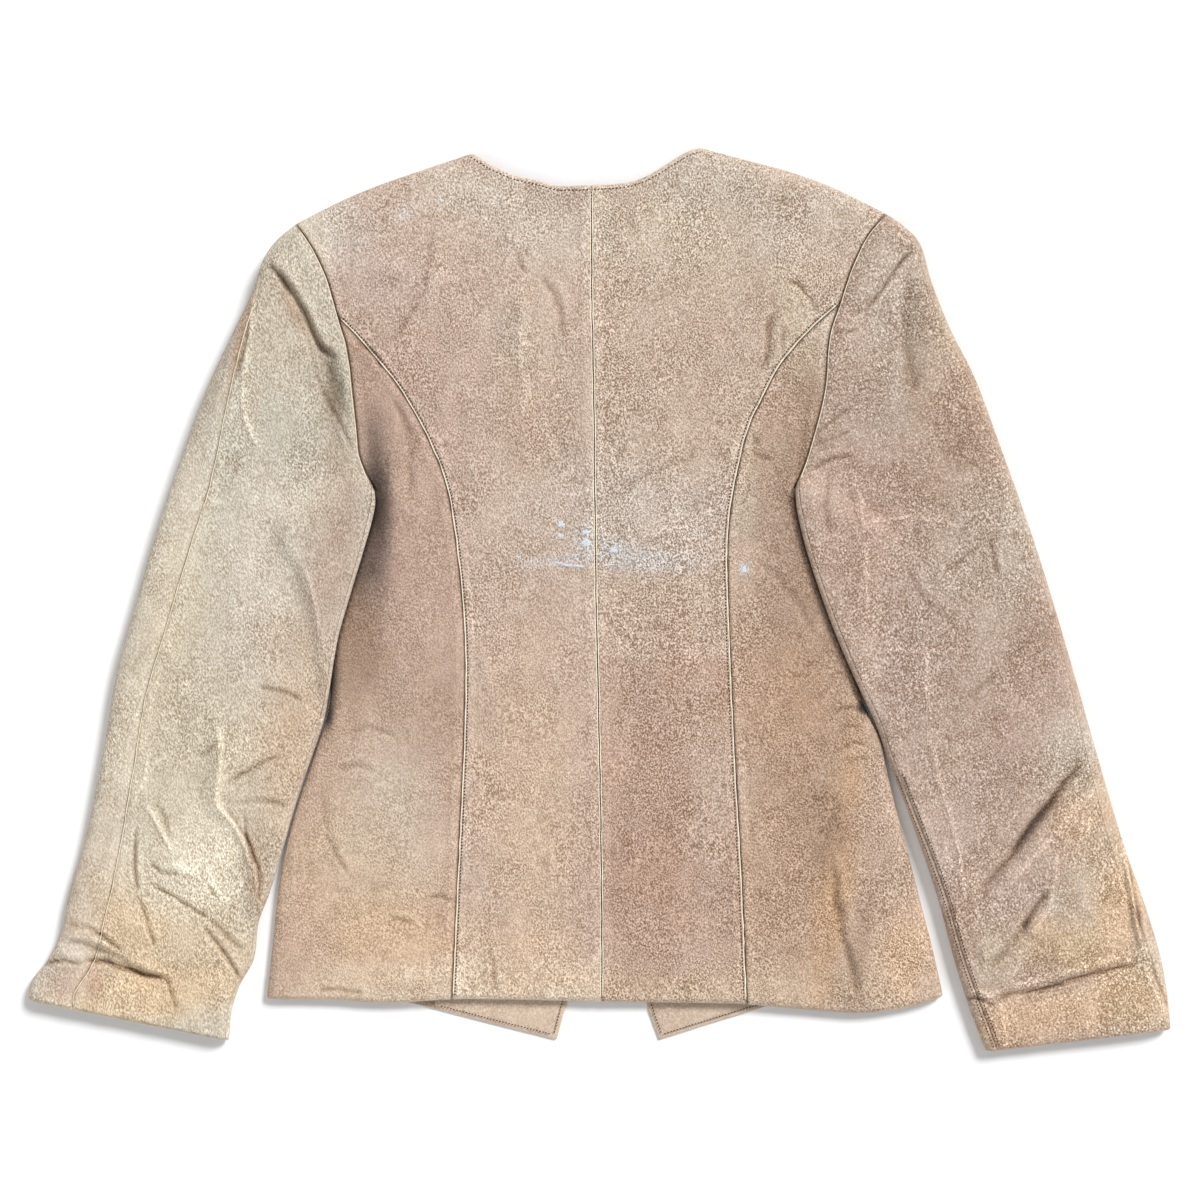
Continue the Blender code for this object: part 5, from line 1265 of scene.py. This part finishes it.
def hem_relief(distance, width):
    """Turned hem: the second layer pressed through, and the edge rolled under."""
    return HEM_RISE * ease((width - distance) / HEM_STEP) - HEM_ROLL * (1 - rounding(distance, HEM_STEP))


def line_shade(kind, distance):
    """Shade of a thin line named in SHADE_LINES."""
    darkness, width = SHADE_LINES[kind]
    return darkness * bell(distance, width)


def strip_shade(distance):
    """Paler hide over a seam allowance."""
    return STRIP_SHADE * ease((ALLOWANCE - distance) / ALLOWANCE_STEP) * ease(distance / ALLOWANCE_STEP)


def crumple(points, amount):
    """Slight unevenness of hide that has been worn and folded."""
    ridges = RIDGE_HEIGHT * (1 - np.abs(bumps("ridges", points))) ** RIDGE_SHARPNESS
    middle = bumps("middle", points * MIDDLE_STRETCH)
    return (bumps("broad", points) + middle + ridges - RIDGE_MEAN + bumps("fine", points)) * amount


class Face:
    """One upper face, body or sleeve, with its creases and seams."""

    def __init__(self, side, region):
        self.side = side
        self.region = region
        self.rows = list(CREASES[region]) + scatter_rows(region)

    def height_and_shade(self, points):
        """Creases and crumple, calm at folded edges and where a sleeve lies on the body; with the
        creases' painted shade and, on the body, the painted shadow beside a sleeve.
        """
        side = self.side
        height, shade = crease_field(points, self.rows)
        height += crumple(points, CRUMPLE[self.region])
        if self.region == "body":
            edge = np.minimum(side.outline.distance(points), side.line["side"].distance(points))
            level, inner = points[..., 1], side.sleeve_inner.points
            beyond = (points[..., 0] - np.interp(-level, -inner[:, 1], inner[:, 0])) * side.body_direction
            below_arm = level < side.underarm_start[1]
            clear = np.where(below_arm, ease((beyond - CALM_START) / CALM_WIDTH), 1)
            height *= np.maximum(clear, 1 - side.carried(points))
            # Painted shadow of the sleeve on the body beside it: a soft band and a dark line at the
            # sleeve's edge
            beyond = np.clip(beyond, 0, None)
            along_sleeve = ease((level - SHADOW_END) / SHADOW_FADE)
            along_sleeve *= ease((side.underarm_start[1] - level) / SHADOW_START)
            shade += SLEEVE_SHADE * np.exp(-beyond / SLEEVE_SHADE_WIDTH) * along_sleeve
            shade += line_shade("sleeve gap", beyond) * along_sleeve
        else:
            edge = np.minimum(side.outline.distance(points), side.sleeve_inner.distance(points))
            height *= 1 - CARRIED_CALM * side.carried(points)
        return height * ease(edge / CALM_WIDTH), shade

    def top(self, points):
        """Height of the finished upper face: of a middle back panel or of a sleeve."""
        if self.region == "body":
            return self.side.back_height(points) + body_relief(self, "back", points)[0]
        surface = self.side.sleeve_surface(points, np.ones(points.shape[:-1], bool))
        return surface + sleeve_relief(self, points, 0)[0]


def tint_of(points, region, base):
    """Colour of an upper face at the given points: base, soft areas and blotches; some soft areas are
    painted shade and painted shadow.
    """
    colour = np.broadcast_to(linear(base), points.shape[:-1] + (3,)).copy()
    for index, (x, y, across, up, turn, name, strength) in enumerate(PATCHES[region]):
        angle = np.radians(turn)
        gap = points - (x, y)
        right = (gap[..., 0] * np.cos(angle) + gap[..., 1] * np.sin(angle)) / across
        upward = (gap[..., 1] * np.cos(angle) - gap[..., 0] * np.sin(angle)) / up
        rough = bumps("patch edge", points, index) + bumps("patch fringe", points, index)
        weight = strength * np.exp(-np.clip(right ** 2 + upward ** 2 + rough, 0, 9) ** PATCH_FALL)
        colour += (linear(COLOURS[name]) - colour) * weight[..., None]
    return colour * (1 + bumps("blotch", points) + bumps("small blotch", points))[..., None]


def linear(colour):
    """Scene-linear values of a colour given in 0 to 255."""
    value = np.array(colour, float) / 255
    return np.where(value <= 0.04045, value / 12.92, ((value + 0.055) / 1.055) ** 2.4)


def give_colours(mesh, tint, strength, base, turned):
    """Colour and grain attributes: worked out outside, plain inside, and pale on cut edges."""
    share = boundary(turned)[:, None]
    edge = boundary(tint) * WORN_EDGE * share + linear(COLOURS["cut edge"]) * (1 - share)
    rim = np.tile(edge, (RIM_STEPS - 1, 1))
    outside, total = tint[..., 0].size, len(mesh.vertices)
    values = np.ones((total, 4))
    values[:, :3] = linear(base) * INSIDE_SHARE
    values[:outside, :3] = tint.reshape(-1, 3)
    values[-len(rim):, :3] = rim
    grain = np.full(total, INSIDE_GRAIN)
    grain[:outside] = strength
    grain[-len(rim):] = EDGE_GRAIN
    for name, kind, key, data in (
            ("tint", "FLOAT_COLOR", "color", values), ("grain", "FLOAT", "value", grain)):
        attribute = mesh.attributes.new(name, kind, "POINT")
        attribute.data.foreach_set(key, data.astype(np.float32).ravel())


def bead(face, chain, kind):
    """Vertices and faces of a raw cut edge: an uneven half-round strip beside a seam."""
    offset, level, seed, width, rise = SEAM_EDGES[kind]
    chain = beside(chain, offset * face.side.body_direction)
    height, across = face.top(chain) + level, left_of(directions(chain))
    uneven = 1 + bumps("bead width", chain, seed)
    shift = bumps("bead path", chain, seed)
    index = np.arange(len(chain))
    ends = ease(np.minimum(index, index[::-1]) / BEAD_ENDS + BEAD_TIP)
    rings = []
    for angle in np.linspace(0, np.pi, BEAD_SIDES):
        place = chain + across * ((np.cos(angle) * width / 2 * uneven + shift) * ends)[:, None]
        rings.append(with_height(place, height + np.sin(angle) * rise * uneven * ends - BEAD_DEPTH))
    return np.stack(rings, axis=1).reshape(-1, 3), ring_faces(len(chain), BEAD_SIDES)


def joined(parts):
    """One set of vertices and faces from several."""
    faces, count = [], 0
    for points, own_faces in parts:
        faces += [[index + count for index in face] for face in own_faces]
        count += len(points)
    return np.concatenate([points for points, _ in parts]), faces


def stitches(chain, height, seed):
    """Vertices and faces of a row of stitches, small threads that dip into the hide at their ends."""
    draw = np.random.default_rng(seed)
    turn = np.linspace(0, 2 * np.pi, STITCH_SIDES, endpoint=False)
    parts = []
    for middle, along, level in zip(chain, directions(chain), height):
        angle = draw.normal(0, STITCH_WANDER)
        step = along * np.cos(angle) + left_of(along) * np.sin(angle)
        rings = []
        for place, lift, wide in STITCH_RINGS:
            radius = STITCH_WIDTH / 2 * wide
            across = left_of(step) * (np.cos(turn) * radius)[:, None]
            ring = middle + step * place * STITCH_LENGTH + across
            rings.append(with_height(ring, level + lift + np.sin(turn) * radius))
        parts.append((np.concatenate(rings), tube_faces(len(STITCH_RINGS), STITCH_SIDES)))
    return joined(parts)


def stitch_row(face, chain, kind):
    """A row of stitches beside a seam or edge of an upper face."""
    offset, level, seed = STITCH_ROWS[kind]
    row = beside(chain, offset * face.side.body_direction)
    return stitches(row, face.top(row) + level, seed)


def add_piece(name, mesh, material):
    """A piece of the given solid's suede, carried by the one body."""
    mesh.materials.append(material)
    piece = linked(name, mesh)
    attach(piece, "root")
    return piece


def sewn_piece(node, kind, parts, material):
    name = node + kind
    return add_piece(name, mesh_from(name, *joined(parts)), material)


def sew_back(face, thread, edge):
    """Seam edges and stitches of one half of the back."""
    side = face.side
    seams = {"princess": side.line["back_princess"], "centre": Line(CENTRE_BACK)}
    seams = {kind: walked(line.points, EDGE_STEP)[BACK_TRIM:-BACK_TRIM] for kind, line in seams.items()}
    edges = [bead(face, chain, kind) for kind, chain in seams.items()]
    stitched = ("princess", "centre") if side.name == "left" else ("princess",)
    rows = [stitch_row(face, walked(seams[kind], STITCH_STEP), kind) for kind in stitched]
    neck = walked(side.line["back_neck"].points, NECK_STITCH_STEP)[1:-1]
    rows.append(stitch_row(face, neck, "neck"))
    node = "back_" + side.name
    return [sewn_piece(node, "_seam_edges", edges, edge), sewn_piece(node, "_stitches", rows, thread)]


def sew_front(side, thread):
    """Stitches along the free front edge, on the inside that shows beside the hem."""
    offset, level, seed = STITCH_ROWS["front"]
    rows = []
    for key in ("cutaway", "front_hem_tip"):
        row = beside(walked(side.line[key].points, STITCH_STEP), offset * side.body_direction)[2:-2]
        rows.append(stitches(row, side.front_height(row) + TURNED_WALL + level, seed))
    return [sewn_piece("front_" + side.name, "_stitches", rows, thread)]


def sew_sleeve(face, thread, edge):
    """Seam edge at the armhole, and at the elbow seam or stitches beside the inner seam."""
    side = face.side
    seam, share = SEWN_FROM[side.name]
    head = walked(side.seat.points, EDGE_STEP)[HEAD_TRIM:-HEAD_TRIM]
    line = walked(side.seam_path[int(share * len(side.seam_path)):-2], EDGE_STEP)
    edges = [bead(face, head, "armhole")]
    node = "sleeve_" + side.name + "_upper"
    if seam == "elbow":
        edges.append(bead(face, line, "elbow"))
        return [sewn_piece(node, "_seam_edges", edges, edge)]
    stitched = walked(line, STITCH_STEP)
    rows = [stitch_row(face, stitched, "inner"), stitch_row(face, stitched, "inner again")]
    return [sewn_piece(node, "_seam_edges", edges, edge), sewn_piece(node, "_stitches", rows, thread)]


def chalk_marks(face, node, material):
    """Flakes of dried chalk: ragged thin spots that follow the hide."""
    parts = []
    angle = np.linspace(0, 2 * np.pi, FLAKE_POINTS, endpoint=False)
    for index, (x, y, along, across, turn) in enumerate(MARKS[node]):
        draw = np.random.default_rng(FLAKE_SEED + index)
        ragged = 1 + FLAKE_RAGGED * draw.standard_normal(FLAKE_POINTS).clip(*FLAKE_LIMITS)
        turned = np.radians(turn)
        rings = []
        for share, lift in FLAKE_RINGS:
            right, up = along * ragged * share * np.cos(angle), across * ragged * share * np.sin(angle)
            ring = np.stack([x + right * np.cos(turned) - up * np.sin(turned),
                             y + right * np.sin(turned) + up * np.cos(turned)], axis=-1)
            rings.append(with_height(ring, face.top(ring) + lift))
        parts.append((np.concatenate(rings), tube_faces(len(FLAKE_RINGS), FLAKE_POINTS)))
    return sewn_piece(node, "_chalk_marks", parts, material)


class Shading:
    """A material and short ways to add its nodes."""

    def __init__(self, name, values):
        self.material = bpy.data.materials.new(name)
        self.material.use_nodes = True
        self.tree = self.material.node_tree
        self.shader = self.tree.nodes["Principled BSDF"]
        self.fill(self.shader, values)

    def fill(self, node, values):
        """Give a node's sockets their constant values or links."""
        for key, value in values.items():
            if isinstance(value, bpy.types.NodeSocket):
                self.tree.links.new(value, node.inputs[key])
            else:
                node.inputs[key].default_value = value

    def add(self, kind, output, values=(), **settings):
        """The named output of a new node."""
        node = self.tree.nodes.new("ShaderNode" + kind)
        for key, value in settings.items():
            setattr(node, key, value)
        self.fill(node, dict(values))
        return node.outputs[output]

    def math(self, kind, first, second):
        return self.add("Math", "Value", {0: first, 1: second}, operation=kind)

    def ranged(self, value, limits, results):
        return self.add("MapRange", "Result", {
            "Value": value, "From Min": limits[0], "From Max": limits[1],
            "To Min": results[0], "To Max": results[1]}, interpolation_type="SMOOTHSTEP")

    def ramp(self, value, first, last, *middle):
        """Colour of a ramp through stops, each a position and its colour."""
        node = self.tree.nodes.new("ShaderNodeValToRGB")
        elements = node.color_ramp.elements
        for element, (position, colour) in zip(elements, (first, last)):
            element.position, element.color = position, colour
        for position, colour in middle:
            elements.new(position).color = colour
        self.tree.links.new(value, node.inputs["Fac"])
        return node.outputs["Color"]

    def finish(self, colour, height, bump_values):
        """Lay the colour on the shader and the height on its bump."""
        bump = self.add("Bump", "Normal", {**bump_values, "Height": height})
        self.fill(self.shader, {"Base Color": colour, "Normal": bump})
        return self.material


def suede_material(name, grain):
    """Brushed pigskin: coloured by the tint, with rows of pale pebbles, brown gaps and a soft nap."""
    dots, spacing, turn, stretch = grain
    shading = Shading("suede_" + name, SUEDE)
    math, ranged = shading.math, shading.ranged
    place = shading.add("Mapping", "Vector", {
        "Rotation": (0.0, 0.0, np.radians(turn)), "Scale": (1.0, 1.0 / stretch, 1.0),
        "Vector": shading.add("TexCoord", "Object")})

    def noise(kind):
        scale, detail = NAP_NOISE[kind]
        return shading.add("TexNoise", "Fac", {"Scale": scale, "Detail": detail, "Vector": place})

    cells = shading.add("TexVoronoi", "Distance", {
        "Scale": 1000.0 / spacing, "Randomness": PEBBLE_SCATTER, "Vector": place})
    pebble = math("MULTIPLY", ranged(cells, PEBBLE_EDGE, (1.0, 0.0)), float(dots))
    fleck = math("MULTIPLY", ranged(noise("fleck"), MIDDLE_RANGE, (0.0, 1.0)), FLECK_SHARE - dots)
    streak = noise("streak")
    patchy = ranged(noise("patch"), MIDDLE_RANGE, PATCHY_GRAIN)
    strength = math("MULTIPLY", shading.add("Attribute", "Fac", attribute_name="grain"), patchy)
    centred = math("MULTIPLY", math("SUBTRACT", math("ADD", pebble, fleck), 0.5), strength)
    centred = math("ADD", centred, math("MULTIPLY", math("SUBTRACT", streak, 0.5), STREAK_SHARE))
    grained = shading.ramp(math("ADD", centred, 0.5), *GRAIN_STOPS)
    tint = shading.add("Attribute", "Color", attribute_name="tint")
    colour = shading.add("VectorMath", "Vector", {0: tint, 1: grained}, operation="MULTIPLY")
    brighter = {0: colour, "Scale": 1 / GRAIN_MIDDLE}
    bright = shading.add("VectorMath", "Vector", brighter, operation="SCALE")
    height = math("ADD", math("MULTIPLY", centred, GRAIN_HEIGHT), math("MULTIPLY", streak, STREAK_HEIGHT))
    return shading.finish(bright, height, SUEDE_BUMP)


def plain_material(name, colour, roughness, fuzz_scale):
    """Edge, thread or mark: one colour broken up by fine noise."""
    shading = Shading(name, {"Roughness": roughness, "Specular IOR Level": PLAIN_SPECULAR})
    noise = shading.add("TexNoise", "Fac", {
        "Scale": fuzz_scale, "Detail": FUZZ_DETAIL, "Vector": shading.add("TexCoord", "Object")})
    shade = linear(COLOURS[colour])
    stops = [(place, (*np.minimum(shade * share, 1), 1)) for place, share in FUZZ_STOPS]
    return shading.finish(shading.ramp(noise, *stops), noise, PLAIN_BUMP)


def lines_of(side, kind):
    """Seam lines and turned edges of a body panel."""
    line = side.line
    if kind == "back":
        seams = (Line(CENTRE_BACK), line["back_princess"], line["armhole_high"])
        return seams, ((Line(BACK_HEM_MIDDLE), HEM_WIDTH), (line["back_neck"], NECK_WIDTH))
    if kind == "back_side":
        return (line["back_princess"], line["armhole_low"]), ((line["back_hem"], HEM_WIDTH),)
    return (), ()


def body_relief(face, kind, points):
    """Added height and shade of the back at the given points: creases, seams and turned edges; the shade
    is painted shade in creases, seam grooves and beside a sleeve, and paler over allowances and worn
    hems.
    """
    seams, hems = lines_of(face.side, kind)
    height, shade = face.height_and_shade(points)
    for index, seam in enumerate(seams):
        distance = seam.distance(points)
        height += seam_relief(distance, points, SEAM_SEEDS["body"] + index)
        # painted shadow in the seam's groove
        shade += SEAM_SHADE[kind][index] * bell(distance, SEAM_LINE)
        shade += line_shade("allowance", distance - ALLOWANCE - 1) - strip_shade(distance)
    for hem, width in hems:
        distance = hem.distance(points)
        height += hem_relief(distance, width)
        shade += line_shade("hem", distance - width - 1) + line_shade("worn hem", distance)
    return height, shade


def sleeve_relief(face, points, shown):
    """Added height and shade over a sleeve: shown tells how far its sewn seam stands out.
    The shade is painted shade in its creases and seam grooves.
    """
    side = face.side
    height, shade = face.height_and_shade(points)
    distance = nearest(points, side.seam_path[::SEAM_PATH_STEP])
    height += seam_relief(distance, points, SEAM_SEEDS["sleeve"]) * shown
    # painted shadow in the sewn seam's groove, and paler over its allowance
    shade += (line_shade("sleeve seam", distance) - strip_shade(distance)) * shown
    from_head, from_cuff = side.seat.distance(points), side.from_cuff(points)
    height += seam_relief(from_head, points, SEAM_SEEDS["armhole"])
    height += HEAD_PUFF * bell(from_head - HEAD_PUFF_PLACE, HEAD_PUFF_WIDTH)
    height += hem_relief(from_cuff, CUFF_WIDTH)
    # painted shadow in the armhole's groove, and a thin darker line at the cuff's turned edge
    shade += line_shade("armhole", from_head) + line_shade("cuff", from_cuff - CUFF_WIDTH - 1)
    return height, shade


def under_relief(points, edge_distance, shift):
    """Bulges of a hidden under layer, away from its folded edges."""
    bulges = np.clip(crumple(points + shift, 1.0), 0, 2)
    return UNDER_CRUMPLE * bulges * ease(edge_distance / UNDER_MARGIN)


def wall_at(hem_width, distance):
    """Thickness of the suede, with two layers where a hem is turned."""
    return WALL + (TURNED_WALL - WALL) * ease((hem_width - distance) / HEM_WALL_STEP)


def body_detail(face, kind, grid):
    """Added height, shade, turned edges and wall of a body panel."""
    points = grid[..., :2]
    shade = np.zeros(points.shape[:-1])
    if kind in SEAM_SHADE:
        height, shade = body_relief(face, kind, points)
    else:
        height = under_relief(points, face.side.line["side"].distance(points), BODY_SHIFT)
    turned = np.zeros(points.shape[:-1])
    turned[0] = 1
    if kind == "back":
        turned[-len(NECK_STOPS):, -1] = 1
    if kind == "front":
        turned[:, -1] = 1
    wall = np.full(points.shape[:-1], WALL)
    for hem, width in lines_of(face.side, kind)[1]:
        wall = np.maximum(wall, wall_at(width, hem.distance(points)))
    return height, shade, turned, wall


def sleeve_detail(face, grid, places):
    """Added height, shade, turned edge and wall of a sleeve panel."""
    side = face.side
    points = grid[..., :2]
    over = (places <= 1) | (places > 2)
    shown = ease((RING_SHARES - SEWN_FROM[side.name][1]) / SEWN_FADE)[:, None]
    height, shade = sleeve_relief(face, points, shown)
    inward = np.minimum(side.outline.distance(points), side.sleeve_inner.distance(points))
    under = under_relief(points, inward, SLEEVE_SHIFT) * (1 - side.carried(points))
    turned = np.zeros(points.shape[:-1])
    turned[-1] = 1
    wall = wall_at(CUFF_WIDTH, side.from_cuff(points))
    return np.where(over, height, under), np.where(over, shade, 0), turned, wall


def facing_of(name, grid):
    """1 or -1, so that the grid's normals point out of the garment."""
    up = grid_normals(grid)[..., 2]
    if name.startswith("sleeve"):
        middle_row, middle_column = grid.shape[0] // 2, grid.shape[1] // 2
        if name.endswith("under"):    # a column well inside the layer that lies underneath
            middle_column = (grid.shape[1] + ELBOW_SEAM_POINT) // 3
        return np.sign(up[middle_row, middle_column]) * (1 if name.endswith("upper") else -1)
    return np.sign(up.sum()) * (1 if name.startswith("back") else -1)


def add_sheet(node, grid, region, detail):
    """A panel in place of its solid, which is hidden."""
    height, shade, turned, wall = detail
    mesh = shell(node + "_cloth", grid, facing_of(node, grid), height, wall, turned)
    points = grid[..., :2]
    tint = tint_of(points, region, BASES[node])
    # Painted shade and highlight of creases, seam grooves and sleeves, with paler allowances and worn
    # hems, laid on the colour
    tint *= np.clip(1 - shade[..., None] * SHADE_COLOUR, *SHADE_LIMITS)
    if node in STEPS:
        level, softness, left = STEPS[node]
        below = ease((level - points[..., 1] + bumps("step", points)) / softness)[..., None]
        tint *= 1 - below * (1 - np.array(left))
    strength, *grain = GRAINS[node]
    give_colours(mesh, tint, strength, BASES[node], turned)
    piece = add_piece(node + "_cloth", mesh, suede_material(node, grain))
    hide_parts(node)


def studio():
    """Pale floor, a soft key from the upper right, an even fill and the camera straight above."""
    bpy.ops.mesh.primitive_plane_add(size=FLOOR_SIZE, location=(0, 0, -FLOOR_DEPTH))
    floor = bpy.context.object
    floor.name = "floor"
    paper = Shading("floor_paper", {"Base Color": FLOOR_COLOUR, "Roughness": 1.0})
    floor.data.materials.append(paper.material)

    for name, place, angle, strength in LAMPS:
        lamp = bpy.data.lights.new(name, "SUN")
        lamp.angle = np.radians(angle)
        lamp.energy = strength
        item = linked(name, lamp)
        item.location = place
        item.rotation_euler = (-Vector(place)).to_track_quat("-Z", "Y").to_euler()

    world = bpy.data.worlds.new("studio")
    bpy.context.scene.world = world
    world.use_nodes = True
    background = world.node_tree.nodes["Background"].inputs
    background["Color"].default_value = (1, 1, 1, 1)
    background["Strength"].default_value = WORLD_STRENGTH

    camera = bpy.data.cameras.new("camera")
    camera.lens = LENS
    camera.sensor_width = SENSOR
    item = linked("camera", camera)
    distance = FRAME_WIDTH * MM * LENS / SENSOR
    item.location = (PLACE[0] * MM, PLACE[1] * MM, distance + MIDDLE_HEIGHT * MM)
    bpy.context.scene.camera = item
    bpy.context.scene.view_settings.view_transform = "Standard"


def dress():
    """Make every panel with its sewing."""
    thread, edge, chalk = (plain_material(*row) for row in PLAIN_MATERIALS)
    for name, tables in (("left", LEFT), ("right", RIGHT)):
        side = Side(name, tables)
        body = Face(side, "body")
        sleeve = Face(side, "sleeve_" + name)
        sewing = {"back_" + name: sew_back(body, thread, edge), "front_" + name: sew_front(side, thread)}
        for node in MARKS:
            if node.endswith(name):
                sewing.setdefault(node, []).append(chalk_marks(body, node, chalk))
        for node, grid in body_panels(side).items():
            kind = node.replace("_" + name, "")
            add_sheet(node, grid, "body", body_detail(body, kind, grid))
        grids, places = sleeve_panels(side)
        sewing = {"sleeve_" + name + "_upper": sew_sleeve(sleeve, thread, edge)}
        for node, grid in grids.items():
            detail = sleeve_detail(sleeve, grid, places[node])
            add_sheet(node, grid, sleeve.region, detail)


studio()
dress()
bpy.context.view_layer.update()
